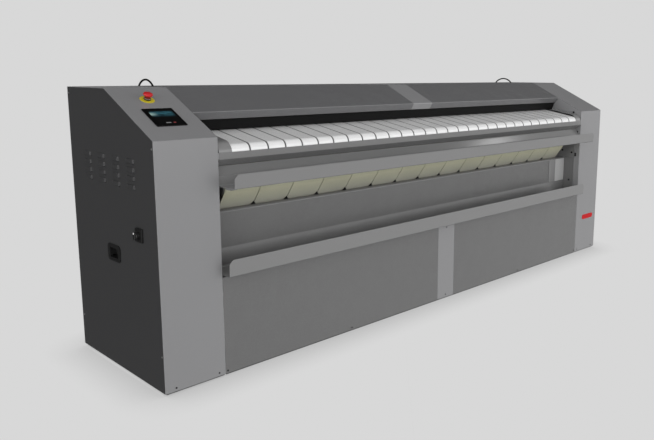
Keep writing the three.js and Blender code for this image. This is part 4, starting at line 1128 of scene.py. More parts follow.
class IRONER_OT_hood(IronerPiece, bpy.types.Operator):
    """The hood between the cabinets: two panels and the strip over their joint"""

    bl_idname = "ironer.hood"
    bl_label = "Hood"

    def execute(self, context):
        bend = sizes().bend / MM
        radii = [bend * share for share in HOOD_BENDS]
        for word, left, right, slot in (
            ("left", -WALL + SEAM, -HOOD_STRIP - SEAM, "hood_paint"),
            ("strip", -HOOD_STRIP, HOOD_STRIP, "grey_paint"),
            ("right", HOOD_STRIP + SEAM, WALL - SEAM, "hood_paint"),
        ):
            obj = bent_sheet(f"hood_sheet_{word}", HOOD_LINE, left, right, radii)
            dress(softened(obj, sizes().edge / MM), slot, nodes=[f"hood_{word}"])
        return self.finished()


# Near-black strips under the covers: painted shade in the gap at the floor
SHADE_STRIP_INSET = 6
SHADE_STRIP_PLAY = 2
SHADE_STRIP_FRONT = 1.6
SHADE_STRIP_BACK = 6
SHADE_STRIP_TOP = 1.4


class IRONER_OT_lower_front(IronerPiece, bpy.types.Operator):
    """The lower front panels and the strip over their joint"""

    bl_idname = "ironer.lower_front"
    bl_label = "Lower front"

    def execute(self, context):
        line = [(LAP, PANEL_TOP), (0, PANEL_TOP), (0, PANEL_FOOT)]
        edge = WALL - SEAM
        for word, left, right, slot in (
            ("panel_left", -edge, -FRONT_STRIP - SEAM, "panel_paint"),
            ("strip", -FRONT_STRIP, FRONT_STRIP, "grey_paint"),
            ("panel_right", FRONT_STRIP + SEAM, edge, "panel_paint"),
        ):
            obj = bent_sheet(f"lower_{word}", line, left, right, [sizes().bend / MM])
            dress(softened(obj, 0.5), slot, nodes=[f"front_{word}"])
        # Near-black strips under the covers stand for the shade in the gap at the floor: painted
        # shade
        for word, left, right in (
            ("left", -HALF + SHADE_STRIP_INSET, -WALL - SHADE_STRIP_INSET),
            ("middle", -edge + SHADE_STRIP_PLAY, edge - SHADE_STRIP_PLAY),
            ("right", WALL + SHADE_STRIP_INSET, HALF - SHADE_STRIP_INSET),
        ):
            low = spot(left, SHADE_STRIP_FRONT, -SHADE_STRIP_DROP)
            high = spot(right, SHADE_STRIP_BACK, SHADE_STRIP_TOP)
            shade_strip = block(f"floor_shade_strip_{word}", low, high)
            dress(softened(shade_strip, MOULDED_EDGE, segments=3), "foot_rubber")
        return self.finished()


# Trough, tray and guard


LIP_START = 8
LIP_FRONT = -40
LIP_REACH = 0.5
LIP_ROUND = 3
FOLD = 4


def clip_lip(obj, edge, top, floor):
    """Clip the upper corners of a lip and round them a little."""
    for side in (-1, 1):
        place = spot(side * edge, 0, top - LIP_CLIP)

        def lip(face):
            spot_mm = (face.calc_center_median() - ORIGIN) / MM
            return spot_mm.z > floor + LIP_START and spot_mm.y < LIP_FRONT

        pick(obj, "FACE", lip)
        cut_line(place, (side, 0, 1), clear=True)
        corners = [(side * (edge - LIP_CLIP), top), (side * edge, top - LIP_CLIP)]

        def corner(vertex):
            spot_mm = (vertex.co - ORIGIN) / MM
            gaps = [math.hypot(spot_mm.x - x, spot_mm.z - z) for x, z in corners]
            return spot_mm.y < LIP_FRONT and min(gaps) < LIP_REACH

        pick(obj, "VERT", corner)
        rounded(LIP_ROUND, 3, "VERTICES")


def lip_sheet(name, line, edge, radii):
    """A trough or tray sheet folded from its line, with its lip's corners clipped."""
    along = Vector((2 * edge * MM, 0, 0))
    obj = folded(name, line_points(line, -edge), along, radii)
    with editing(obj):
        clip_lip(obj, edge, line[-1][1], line[-2][1])
    return softened(thickened(obj, SHEET), 0.5)


NOSE_UNDER = math.pi / 10
NOSE_STEPS = 18
NOSE_TIE_LOW = (1.4, 979)
NOSE_TIE_HIGH = (4, 1007)
LUG_SIDES = (1512, 1547)
LUG_LOW = (-76, 851)
LUG_HIGH = (-34, 858.6)


def nose_end(side, name):
    """A rounded nose beside the bands: a flat top spun over and under the front."""
    rise = math.atan2(FEED_REAR[1] - FEED_FRONT[1], FEED_REAR[0] - FEED_FRONT[0])
    y, z = NOSE_CENTRE
    top = (y - NOSE_RADIUS * math.sin(rise), z + NOSE_RADIUS * math.cos(rise))
    rear = (NOSE_REAR, top[1] + (NOSE_REAR - top[0]) * math.tan(rise))
    left, right = sorted((side * NOSE_EDGE, side * (WALL - NOSE_SEAM)))
    along = Vector(((right - left) * MM, 0, 0))
    obj = strip(name, line_points([rear, top], left), along)
    sweep = math.pi + NOSE_UNDER - (math.pi / 2 + rise)
    with editing(obj):
        pick(obj, "EDGE", beside(spot(0, *top), along))
        bpy.ops.mesh.spin(steps=NOSE_STEPS, angle=-sweep, center=spot(0, y, z), axis=(1, 0, 0))
    return softened(thickened(obj, SHEET), 0.4)


class IRONER_OT_feed_trough(IronerPiece, bpy.types.Operator):
    """Upper trough, its wall and the nose bar above it, with rounded nose ends"""

    bl_idname = "ironer.feed_trough"
    bl_label = "Feed trough"

    def execute(self, context):
        trough = lip_sheet("upper_trough", TROUGH_LINE, TROUGH_EDGE, [FOLD, FOLD])
        dress(trough, "grey_paint", nodes=["feed_trough"], look="sheet_paint")
        bar = bent_sheet("nose_bar", NOSE_LINE, -TROUGH_EDGE, TROUGH_EDGE, [FOLD])
        dress(softened(bar, 0.5), "grey_paint", nodes=["feed_trough"], look="nose_paint")
        # The wall is darker than the rest of the trough: painted shade under the nose bar
        wall = bent_sheet("trough_wall", WALL_LINE, -TROUGH_EDGE, TROUGH_EDGE, [])
        dress(softened(wall, FINE_EDGE), "grey_paint", nodes=["feed_trough"], look="wall_paint")
        for side, word in ((-1, "left"), (1, "right")):
            end = nose_end(side, f"nose_end_{word}")
            dress(end, "grey_paint", nodes=["feed_trough"], look="nose_paint")
            left, right = sorted((side * NOSE_EDGE, side * (WALL - SEAM)))
            low, high = spot(left, *NOSE_TIE_LOW), spot(right, *NOSE_TIE_HIGH)
            tie = block(f"nose_tie_{word}", low, high)
            dress(softened(tie, 0.5), "grey_paint", nodes=["feed_trough"])
            left, right = sorted(side * x for x in LUG_SIDES)
            lug = block(f"trough_lug_{word}", spot(left, *LUG_LOW), spot(right, *LUG_HIGH))
            dress(softened(lug, 1), "grey_paint", nodes=["feed_trough"], look="bracket_paint")
        return self.finished()


TRAY_BEND = 12
# Pale strips before the right end of the tray's back: painted reflection of the right-hand wall and
# post
REFLECTION_BACK = 124.9
REFLECTION_FOOT = 552
REFLECTION_TOP = 718
REFLECTION_STRIPS = (("edge", 1421, 1546, 121, "strip_paint"), ("dim_reflection", 1335, 1420.4, 122, "sheet_paint"))


class IRONER_OT_tray(IronerPiece, bpy.types.Operator):
    """The receiving tray under the ironing bands, its back and two painted reflection strips"""

    bl_idname = "ironer.tray"
    bl_label = "Receiving tray"

    def execute(self, context):
        tray = lip_sheet("lower_tray", TRAY_LINE, TRAY_EDGE, [FOLD, FOLD])
        dress(tray, "grey_paint", nodes=["receiving_tray"], look="sheet_paint")
        back = bent_sheet("tray_back", TRAY_BACK, -TRAY_EDGE, TRAY_EDGE, [TRAY_BEND] * 2)
        dress(softened(back, 0.5), "panel_paint", nodes=["receiving_tray"])
        # Pale strips at the right end of the tray's back: painted reflection
        for part, left, right, front, look in REFLECTION_STRIPS:
            low, high = spot(left, front, REFLECTION_FOOT), spot(right, REFLECTION_BACK, REFLECTION_TOP)
            reflection_strip = block(f"tray_{part}", low, high)
            dress(softened(reflection_strip, 0.5), "grey_paint", nodes=["receiving_tray"], look=look)
        return self.finished()


GUARD_HINGE = (234, 1131)
GUARD_EDGE = (250, 1083.2)
GUARD_SHEET = 3
GUARD_ROD = 4


class IRONER_OT_guard(IronerPiece, bpy.types.Operator):
    """The black finger guard under the hood's lip, on its pivot rod"""

    bl_idname = "ironer.guard"
    bl_label = "Finger guard"

    def execute(self, context):
        width = WALL - 2 * SEAM
        line = [GUARD_HINGE, GUARD_EDGE]
        plate = bent_sheet("guard_plate", line, -width, width, [], GUARD_SHEET)
        steps = [(GUARD_ROD, -WALL), (GUARD_ROD, WALL)]
        rod = turned("guard_rod", steps, spot(0, *GUARD_HINGE), Vector((1, 0, 0)), 20)
        whole = joined("finger_flap", softened(plate, PLATE_EDGE), softened(rod, PRESSED_EDGE))
        dress(whole, "black_paint", "guard", ["finger_guard"])
        return self.finished()


# Bands and rollers


def belt_path(circles, offset, step):
    """A closed line round circles; a circle with turn 1 lies inside the loop, with -1 outside."""
    reach = [turn * (radius + turn * offset) for _, _, radius, turn in circles]
    count = len(circles)
    leave = []
    for i, (y, z, _, _) in enumerate(circles):
        j = (i + 1) % count
        dy, dz = circles[j][0] - y, circles[j][1] - z
        leave.append(math.atan2(dz, dy) - math.asin((reach[j] - reach[i]) / math.hypot(dy, dz)))
    path = []
    for i, (y, z, _, turn) in enumerate(circles):
        arrive = leave[i - 1]
        sweep = leave[i] - arrive
        while sweep * turn < 0:
            sweep += turn * 2 * math.pi
        while sweep * turn > 2 * math.pi:
            sweep -= turn * 2 * math.pi
        parts = max(2, math.ceil(abs(sweep) / step))
        for k in range(parts + 1):
            heading = arrive + sweep * k / parts
            path.append((y + reach[i] * math.sin(heading), z - reach[i] * math.cos(heading)))
    return path


def lay_weave(obj, path):
    """Map the band: metres across in u and metres along the path in v."""
    points = [Vector((0, y, z)) * MM + Vector((0, ORIGIN.y, ORIGIN.z)) for y, z in path]
    points.append(points[0])
    starts = [0.0]
    for before, after in zip(points, points[1:]):
        starts.append(starts[-1] + (after - before).length)

    def along(point):
        flat = Vector((0, point.y, point.z))
        best = (math.inf, 0.0)
        for i, (before, after) in enumerate(zip(points, points[1:])):
            run = after - before
            share = min(1.0, max(0.0, (flat - before).dot(run) / max(run.length_squared, HAIR**2)))
            gap = (flat - before - run * share).length
            best = min(best, (gap, starts[i] + run.length * share))
        return best[1]

    values = [along(v.co) for v in obj.data.vertices]
    layer = obj.data.uv_layers.get("Weave") or obj.data.uv_layers.new(name="Weave")
    for loop in obj.data.loops:
        point = obj.data.vertices[loop.vertex_index].co
        layer.data[loop.index].uv = (point.x - ORIGIN.x, values[loop.vertex_index])


BAND_BEVEL_ANGLE = 50


def belt(name, circles, left, right, thickness, step):
    """An endless flat band round its rollers: extruded along its path and closed."""
    path = belt_path(circles, BAND_LIFT, step)
    along = Vector(((right - left) * MM, 0, 0))
    points = line_points(path, left)
    points.append(points[0])
    obj = strip(name, points[:2], along)
    with editing(obj):
        for before, after in zip(points[1:], points[2:]):
            pick(obj, "EDGE", open_end(obj, before, along))
            bpy.ops.mesh.extrude_region_move(TRANSFORM_OT_translate={"value": after - before})
        bpy.ops.mesh.select_all(action="SELECT")
        bpy.ops.mesh.remove_doubles(threshold=TOUCH)
    thickened(obj, thickness, -1)
    softened(obj, PRESSED_EDGE, angle=BAND_BEVEL_ANGLE)
    lay_weave(obj, path)
    return obj


def open_end(obj, place, along):
    """A test for the open edge of a strip at a place."""
    test = beside(place, along)
    return lambda edge: edge.is_boundary and test(edge)


FEED_CIRCLES = [(*FEED_FRONT, FEED_RADIUS, 1), (*FEED_REAR, FEED_RADIUS, 1)]
IRON_CIRCLES = [
    (*IRON_PLACES["nip"], IRON_RADIUS, 1),
    (*CYLINDER, CYLINDER_REACH, -1),
    (*IRON_PLACES["outfeed"], IRON_RADIUS, 1),
    (*IRON_PLACES["turn"], IRON_RADIUS, 1),
    (*IRON_PLACES["rear_lower"], IRON_RADIUS, 1),
    (*IRON_PLACES["rear_upper"], IRON_RADIUS, 1),
]


FEED_STEP = math.pi / 16
IRON_STEP = math.pi / 20
BED_INSET = 18
BED_DROP = 1
BED_SHEET = 1.5


def band_row(stem, circles, edge, count, gap, thickness, step, slot, node):
    """A row of like bands side by side."""
    pitch = (2 * edge + gap) / count
    first = belt(f"{stem}_1", circles, -edge, -edge + pitch - gap, thickness, step)
    bands = [first]
    for i in range(1, count):
        move = Matrix.Translation((i * pitch * MM, 0, 0))
        bands.append(copied(first, f"{stem}_{i + 1}", move))
    for band in bands:
        dress(band, slot, nodes=[node])


class IRONER_OT_feed_bands(IronerPiece, bpy.types.Operator):
    """Thirty endless white feed bands, and the slide bed under their top run"""

    bl_idname = "ironer.feed_bands"
    bl_label = "Feed bands"

    def execute(self, context):
        sheet = (FEED_GAP, FEED_THICK, FEED_STEP, "feed_fabric", "feed_bands")
        band_row("feed_band", FEED_CIRCLES, FEED_EDGE, FEED_COUNT, *sheet)
        run = Vector((FEED_REAR[0] - FEED_FRONT[0], FEED_REAR[1] - FEED_FRONT[1])).normalized()
        up = Vector((-run.y, run.x)) * (FEED_RADIUS - BED_DROP)
        inset = run * BED_INSET
        line = [Vector(FEED_REAR) - inset + up, Vector(FEED_FRONT) + inset + up]
        bed = bent_sheet("slide_bed", line, -WALL + SEAM, WALL - SEAM, [], BED_SHEET)
        # The bed's near-black finish shows in the gaps between the bands as painted shade
        dress(softened(bed, FINE_EDGE), "frame_paint", look="drum_cover")
        return self.finished()


class IRONER_OT_ironing_bands(IronerPiece, bpy.types.Operator):
    """Fifteen endless felt bands round the ironing rollers and the cylinder"""

    bl_idname = "ironer.ironing_bands"
    bl_label = "Ironing bands"

    def execute(self, context):
        sheet = (BAND_GAP, IRON_THICK, IRON_STEP, "iron_fabric", "ironing_bands")
        band_row("ironing_band", IRON_CIRCLES, IRON_EDGE, IRON_COUNT, *sheet)
        return self.finished()


SHAFT = 12
SHAFT_TIP = 10
CHAMFER = 2
SHOULDER = 3
SHAFT_END = 1531
REAR_SHAFT_LEFT = 1592
OUTFEED_SHAFT_END = 1553
FEED_CORE = 1479


def roller(name, radius, core, left, right, place):
    """A roller tube with stepped ends and a shaft through them."""
    steps = [(SHAFT_TIP, -left), (SHAFT, -left + CHAMFER), (SHAFT, -core)]
    steps += [(radius - SHOULDER, -core), (radius, -core + CHAMFER)]
    steps += [(radius, core - CHAMFER), (radius - SHOULDER, core)]
    steps += [(SHAFT, core), (SHAFT, right - CHAMFER), (SHAFT_TIP, right)]
    tube = turned(name, steps, spot(0, *place), Vector((1, 0, 0)), LARGE_ROUND)
    return smooth(tube, angle=30)


class IRONER_OT_rollers(IronerPiece, bpy.types.Operator):
    """Feed rollers and ironing rollers on their shafts"""

    bl_idname = "ironer.rollers"
    bl_label = "Rollers"

    def execute(self, context):
        feed = (("front", FEED_FRONT, SHAFT_END), ("rear", FEED_REAR, REAR_SHAFT_LEFT))
        for word, place, left in feed:
            obj = roller(f"feed_drum_{word}", FEED_RADIUS, FEED_CORE, left, SHAFT_END, place)
            # Near-black feed drums, so that the gaps between the bands read dark: painted shade
            dress(obj, "roller_steel", f"feed_{word}", [f"feed_roller_{word}"], "drum_cover")
        for word, place in IRON_PLACES.items():
            end = OUTFEED_SHAFT_END if word == "outfeed" else SHAFT_END
            obj = roller(f"ironing_drum_{word}", IRON_RADIUS, IRON_HALF, end, end, place)
            dress(obj, "roller_steel", f"iron_{word}", [f"ironing_roller_{word}"])
        return self.finished()


COMB_ROOT = (152, 724)
COMB_AIM = (143, 744)
COMB_FOOT = 45
COMB_HEAD = 20
COMB_LEFT = -34
COMB_RIGHT = 20
COMB_NECK = 12
COMB_TAPER = 31
COMB_LEAN = 11
COMB_SHEET = 2


class IRONER_OT_comb(IronerPiece, bpy.types.Operator):
    """The scraper comb with a point in each gap of the ironing bands"""

    bl_idname = "ironer.comb"
    bl_label = "Scraper comb"

    def execute(self, context):
        root = spot(0, *COMB_ROOT)
        up = spot(0, *COMB_AIM) - root
        up.normalize()
        along = Vector((2 * IRON_EDGE * MM, 0, 0))
        low, high = root - up * COMB_FOOT * MM, root - up * COMB_HEAD * MM
        side = Vector((-IRON_EDGE * MM, 0, 0))
        obj = strip("scraper_strip", [low + side, high + side], along)
        pitch = 2 * IRON_EDGE / IRON_COUNT
        gaps = [-IRON_EDGE + i * pitch for i in range(1, IRON_COUNT)]
        with editing(obj):
            for x in gaps:
                for end in (COMB_LEFT, COMB_RIGHT):
                    scored(spot(x + end, 0, 0), (1, 0, 0))

            def stem(edge):
                x = (middle(edge).x - ORIGIN.x) / MM
                level = (middle(edge) - high).dot(up)
                in_stem = any(COMB_LEFT < x - gap < COMB_RIGHT for gap in gaps)
                return abs(level) < TOUCH and in_stem

            pick(obj, "EDGE", stem)
            for length in (COMB_NECK, COMB_TAPER):
                move = {"value": up * length * MM}
                bpy.ops.mesh.extrude_region_move(TRANSFORM_OT_translate=move)
            bpy.ops.mesh.merge(type="COLLAPSE")
            push(x=COMB_LEAN)
        thickened(obj, COMB_SHEET)
        dress(softened(obj, 0.4), "black_paint", nodes=["scraper_comb"])
        return self.finished()


# Controls


def slope_turn():
    """The turn that lays an upright body on the slope."""
    return Matrix.Rotation(SLOPE, 4, "X")


def laid_on_slope(obj, x, along, up=0.0):
    """Turn a body modelled at the origin and stand it on the slope."""
    obj.data.transform(Matrix.Translation(on_slope(x, along, up)) @ slope_turn())
    return obj


def tablet(name, width, length, low, high, corner, edge):
    """A flat body with rounded corners, modelled at the origin."""
    a = Vector((-width / 2, -length / 2, low)) * MM
    b = Vector((width / 2, length / 2, high)) * MM
    obj = block(name, a, b)
    with editing(obj):
        pick(obj, "EDGE", lambda e: abs(e.verts[0].co.z - e.verts[1].co.z) > HAIR)
        rounded(corner, 5)
        if edge:
            top = high * MM - HAIR
            pick(obj, "EDGE", lambda e: all(v.co.z > top for v in e.verts))
            rounded(edge, 3)
    return smooth(obj)


BEZEL = {"width": 140, "length": 153, "low": 0.4, "high": 4.5, "corner": 4, "edge": 1.2}
BEZEL_SHIFT = -3
DISPLAY = {"width": 112, "length": 128, "low": 4.3, "high": 4.7, "corner": 1, "edge": 0}


class IRONER_OT_touch_screen(IronerPiece, bpy.types.Operator):
    """The touch screen on the left slope"""

    bl_idname = "ironer.touch_screen"
    bl_label = "Touch screen"

    def execute(self, context):
        bezel = tablet("screen_bezel", **BEZEL)
        laid_on_slope(bezel, SCREEN_X + BEZEL_SHIFT, SCREEN_ALONG)
        dress(bezel, "screen_black", nodes=["touch_screen"])
        lit = tablet("screen_display", **DISPLAY)
        layer = lit.data.uv_layers.get("Screen") or lit.data.uv_layers.new(name="Screen")
        for loop in lit.data.loops:
            place = lit.data.vertices[loop.vertex_index].co / MM
            share = (place.x / DISPLAY["width"] + 0.5, place.y / DISPLAY["length"] + 0.5)
            layer.data[loop.index].uv = share
        laid_on_slope(lit, SCREEN_X, SCREEN_ALONG)
        dress(lit, "screen_black", look="screen_picture")
        return self.finished()


# The emergency stop's turned pieces, as radius and height over the slope
STOP_DISC = [(32.2, 0.4), (32.5, 0.8), (32.5, 1.6), (32.1, 2)]
STOP_COLLAR = [(15.4, 2.4), (16, 3), (16, 7), (15.2, 7.6), (13.2, 7.6), (13.2, 3)]
STOP_BAND = [(14.6, 7.8), (15.8, 8.2), (15.8, 9.6), (15.2, 10.2), (13.2, 10.2), (13.2, 7.9)]
STOP_STALK = [(6, -20), (6, 6), (12.8, 6), (12.8, 17), (14.5, 20), (19.2, 22.6)]
STOP_RIM = [(19.4, 22.6), (20.5, 24.4), (20.5, 28), (19.6, 30.4), (17.2, 32)]
STOP_CROWN = [(12, 33.2), (5, 33.8), (0.5, 33.8)]


class IRONER_OT_emergency_stop(IronerPiece, bpy.types.Operator):
    """The emergency stop: yellow disc, black collar, bright ring and red button"""

    bl_idname = "ironer.emergency_stop"
    bl_label = "Emergency stop"

    def execute(self, context):
        axis = Vector((0, -math.sin(SLOPE), math.cos(SLOPE)))
        place = on_slope(STOP_X, STOP_ALONG)
        disc = turned("stop_ring", STOP_DISC, place, axis, LARGE_ROUND)
        dress(smooth(disc), "yellow_plastic", nodes=["stop_disc"])
        collar = turned("stop_neck", STOP_COLLAR, place, axis, ROUND)
        dress(smooth(collar), "black_plastic", nodes=["stop_collar"])
        ring = turned("stop_band", STOP_BAND, place, axis, ROUND)
        dress(smooth(ring), "sheet_zinc")
        stalk = turned("stop_stalk", STOP_STALK, place, axis, ROUND)
        dress(smooth(stalk), "red_plastic", "stop", ["stop_button"], "red_shadow")
        button = turned("stop_mushroom", STOP_RIM + STOP_CROWN, place, axis, ROUND)
        dress(smooth(button), "red_plastic", "stop", ["stop_button"])
        return self.finished()


ISOLATOR_PLATE = {"width": 60, "length": 60, "low": 0.4, "high": 8.4, "corner": 4, "edge": 1.5}
ISOLATOR_DISC = [(17, 8.8), (17, 23.5), (15.8, 25), (1, 25)]
ISOLATOR_BAR = {"width": 33, "length": 14, "low": 22.8, "high": 28.5, "corner": 3, "edge": 2.5}
# A small white patch on the grip where a bright glint shows: painted highlight
ISOLATOR_GLINT_PATCH = {"width": 8, "length": 8, "low": 27.8, "high": 28.8, "corner": 2, "edge": 0.3}
ISOLATOR_GLINT_REACH = 11


class IRONER_OT_isolator(IronerPiece, bpy.types.Operator):
    """The mains isolator on the left side"""

    bl_idname = "ironer.isolator"
    bl_label = "Mains isolator"

    def execute(self, context):
        turn = Matrix.Translation(spot(-HALF, *ISOLATOR)) @ Matrix.Rotation(-math.pi / 2, 4, "Y")
        plate = tablet("isolator_base", **ISOLATOR_PLATE)
        plate.data.transform(turn)
        dress(plate, "black_plastic", nodes=["isolator_plate"])
        axis = Vector((-1, 0, 0))
        place = spot(-HALF, *ISOLATOR)
        disc = smooth(turned("isolator_disc", ISOLATOR_DISC, place, axis, ROUND))
        bar = tablet("isolator_bar", **ISOLATOR_BAR)
        bar.data.transform(turn)
        knob = joined("isolator_grip", disc, bar)
        dress(knob, "black_plastic", "isolator", ["isolator_knob"])
        # White patch on the grip: painted highlight of a glint
        glint_patch = tablet("isolator_glint_patch", **ISOLATOR_GLINT_PATCH)
        glint_patch.data.transform(turn @ Matrix.Translation((ISOLATOR_GLINT_REACH * MM, 0, 0)))
        dress(glint_patch, "sheet_zinc", "isolator", look="white_mark")
        return self.finished()


CUP_STAND = 3.4
CUP_HALF = (61, 39)
CUP_CORNER = 17
CUP_RIM = 17
CUP_NARROW = 76 / 88
CUP_DEPTH = 27


class IRONER_OT_pull_handle(IronerPiece, bpy.types.Operator):
    """The recessed pull handle on the left side"""

    bl_idname = "ironer.pull_handle"
    bl_label = "Pull handle"

    def execute(self, context):
        y, z = HANDLE
        x = -HALF - CUP_STAND
        half_y, half_z = CUP_HALF
        low, high = spot(x, y - half_y, z - half_z), spot(x, y + half_y, z + half_z)
        first = Vector((low.x, high.y, low.z))
        obj = strip("grip_cup", [first, high], low - first)
        with editing(obj):
            pick(obj, "VERT", lambda v: True)
            rounded(CUP_CORNER, 6, "VERTICES")
            pick(obj, "FACE", lambda f: True)
            bpy.ops.mesh.inset(thickness=CUP_RIM * MM, depth=0)
            bpy.ops.transform.resize(value=(1, CUP_NARROW, 1), center_override=spot(x, y, z))
            pull_out(x=CUP_DEPTH)
        thickened(obj, SHEET, -1)
        dress(softened(obj, MOULDED_EDGE, segments=3), "black_plastic", nodes=["pull_handle"])
        return self.finished()


HOOP_X = 1521
HOOP_Y = 688
HOOP_ROD = 4.75
HOOP_ARC_POINTS = 13
HOOP_LEG = [(2, 1246), (2, 1262), (1, 1274)]


def hoop_line():
    """A hoop's line from foot to foot: a leg, an arc over the top and the other leg."""
    rise = HOOP_TOP - HOOP_FOOT
    radius = (HOOP_HALF**2 + rise**2) / (2 * rise)
    middle_point = (HOOP_ARC_POINTS - 1) // 2
    near = [(-HOOP_HALF - out, z) for out, z in HOOP_LEG]
    arc = []
    for k in range(HOOP_ARC_POINTS):
        angle = math.asin(HOOP_HALF / radius) * (k - middle_point) / middle_point
        arc.append((radius * math.sin(angle), HOOP_TOP - radius + radius * math.cos(angle)))
    far = [(HOOP_HALF + out, z) for out, z in reversed(HOOP_LEG)]
    return near + arc + far


class IRONER_OT_hoops(IronerPiece, bpy.types.Operator):
    """Two lifting hoops through the hood's top"""

    bl_idname = "ironer.hoops"
    bl_label = "Lifting hoops"

    def execute(self, context):
        for side, word in ((-1, "left"), (1, "right")):
            fresh()
            bpy.ops.curve.primitive_nurbs_path_add()
            obj = bpy.context.object
            spline = obj.data.splines[0]
            places = hoop_line()
            spline.points.add(len(places) - len(spline.points))
            for point, (y, z) in zip(spline.points, places):
                point.co = (*spot(side * HOOP_X, HOOP_Y + y, z), 1)
            spline.use_endpoint_u = True
            spline.order_u = 3
            obj.data.bevel_depth = HOOP_ROD * MM
            obj.data.bevel_resolution = 5
            obj.data.use_fill_caps = True
            obj.data.resolution_u = 6
            bpy.ops.object.convert(target="MESH")
            hoop = seated(f"lifting_hoop_{word}")
            dress(smooth(hoop), "black_paint", nodes=[f"hoop_{word}"])
        return self.finished()


PLATE = {"width": 160, "length": 36, "low": 0.4, "high": 1.4, "corner": 17.5, "edge": 0.3}
PLATE_X = 1722.5
PLATE_Z = 258.5


class IRONER_OT_red_plate(IronerPiece, bpy.types.Operator):
    """The plain red plate on the right front cover"""

    bl_idname = "ironer.red_plate"
    bl_label = "Red plate"

    def execute(self, context):
        obj = tablet("badge_plate", **PLATE)
        turn = Matrix.Rotation(math.pi / 2, 4, "X")
        obj.data.transform(Matrix.Translation(spot(PLATE_X, 0, PLATE_Z)) @ turn)
        dress(obj, "red_plate", nodes=["red_plate"])
        return self.finished()


# Brackets, screws and hidden works


def upright_plate(name, x, thickness, front, back, low, high, corner):
    """A plate that stands across the machine, with its front corners rounded."""
    obj = block(name, spot(x, front, low), spot(x + thickness, back, high))
    with editing(obj):

        def edge_across(edge):
            flat = abs(edge.verts[0].co.x - edge.verts[1].co.x) > CLOSE * MM
            return flat and middle(edge).y < ORIGIN.y + (front + 1) * MM

        pick(obj, "EDGE", edge_across)
        rounded(corner, 4)
    return softened(obj, PLATE_EDGE)


BRACKET_SIDES = (1549.4, 1553.4)
BRACKET_SHEET = 4
END_PLATE = {"front": 41, "back": 185, "low": 730, "high": 872, "corner": 5}
END_POST = {"front": 46, "back": 123, "low": 468, "high": 729, "corner": 2}


class IRONER_OT_brackets(IronerPiece, bpy.types.Operator):
    """End brackets and posts that hold the outfeed roller"""

    bl_idname = "ironer.brackets"
    bl_label = "End brackets"

    def execute(self, context):
        for side, word in ((-1, "left"), (1, "right")):
            x = min(side * place for place in BRACKET_SIDES)
            plate = upright_plate(f"end_plate_{word}", x, BRACKET_SHEET, **END_PLATE)
            dress(plate, "dark_paint", nodes=[f"bracket_{word}"], look="bracket_paint")
            post = upright_plate(f"end_post_{word}", x, BRACKET_SHEET, **END_POST)
            dress(post, "dark_paint", nodes=[f"bracket_{word}"], look="post_steel")
        return self.finished()


HEAD_LEVEL = 0.95
HEAD_ROUND = 0.4
RECESS_INSET = 0.35
RECESS_WALL = 0.05
RECESS_DEPTH = 0.5


def screw(name, radius, height, sides=24):
    """A pan-head screw modelled at the origin, with a hexagon recess."""
    fresh()
    bpy.ops.mesh.primitive_cylinder_add(
        vertices=sides, radius=radius * MM, depth=height * MM, location=(0, 0, height / 2 * MM)
    )
    obj = seated(name)
    with editing(obj):
        top = height * MM - HAIR
        pick(obj, "EDGE", lambda e: all(v.co.z > top for v in e.verts))
        rounded(height * HEAD_ROUND, 3)
        pick(obj, "FACE", lambda f: f.normal.z > HEAD_LEVEL and f.calc_center_median().z > top)
        bpy.ops.mesh.inset(thickness=radius * RECESS_INSET * MM, depth=0)
        sink = height * RECESS_DEPTH
        bpy.ops.mesh.inset(thickness=radius * RECESS_WALL * MM, depth=-sink * MM)
    return smooth(obj)


def screw_row(stem, model, slot, places, normal):
    """Copies of one screw at places on a face."""
    turn = Vector((0, 0, 1)).rotation_difference(normal).to_matrix().to_4x4()
    for i, place in enumerate(places):
        move = Matrix.Translation(place) @ turn
        dress(copied(model, f"{stem}_{i + 1}", move), slot)


SCREW_HEIGHT = 1.6
SIDE_SCREWS = [(803, 1250), (12.5, 1044), (802, 156), (13, 164.5)]
FRONT_SCREWS = [(-1799, 15), (-1587, 15), (1799, 15), (1587, 15), (-1543, 13), (-777, 12.4)]
FRONT_SCREWS += [(777, 12.4), (1543, 13), (0, 438), (0, 18)]
COVER_SCREWS_X = (-1836, -1568, 1568, 1836)
COVER_SCREWS_Z = (30, 640, 1235)
PANEL_SCREWS_X = (-1530, -765, 0, 765, 1530)
PANEL_SCREWS_Z = (100, 1235)
BOLT_RADIUS = 7.5
BOLT_HEIGHT = 4
BOLTS = (
    ("wall_bolt", WALL, [(64, 1068), (53, 1022), (45, 922.5), (25, 923.8)]),
    ("edge_bolt", WALL, [(33, 744), (33, 757)]),
    ("bracket_bolt", BRACKET_SIDES[0], [(140, 778), (62, 765), (76, 555)]),
)


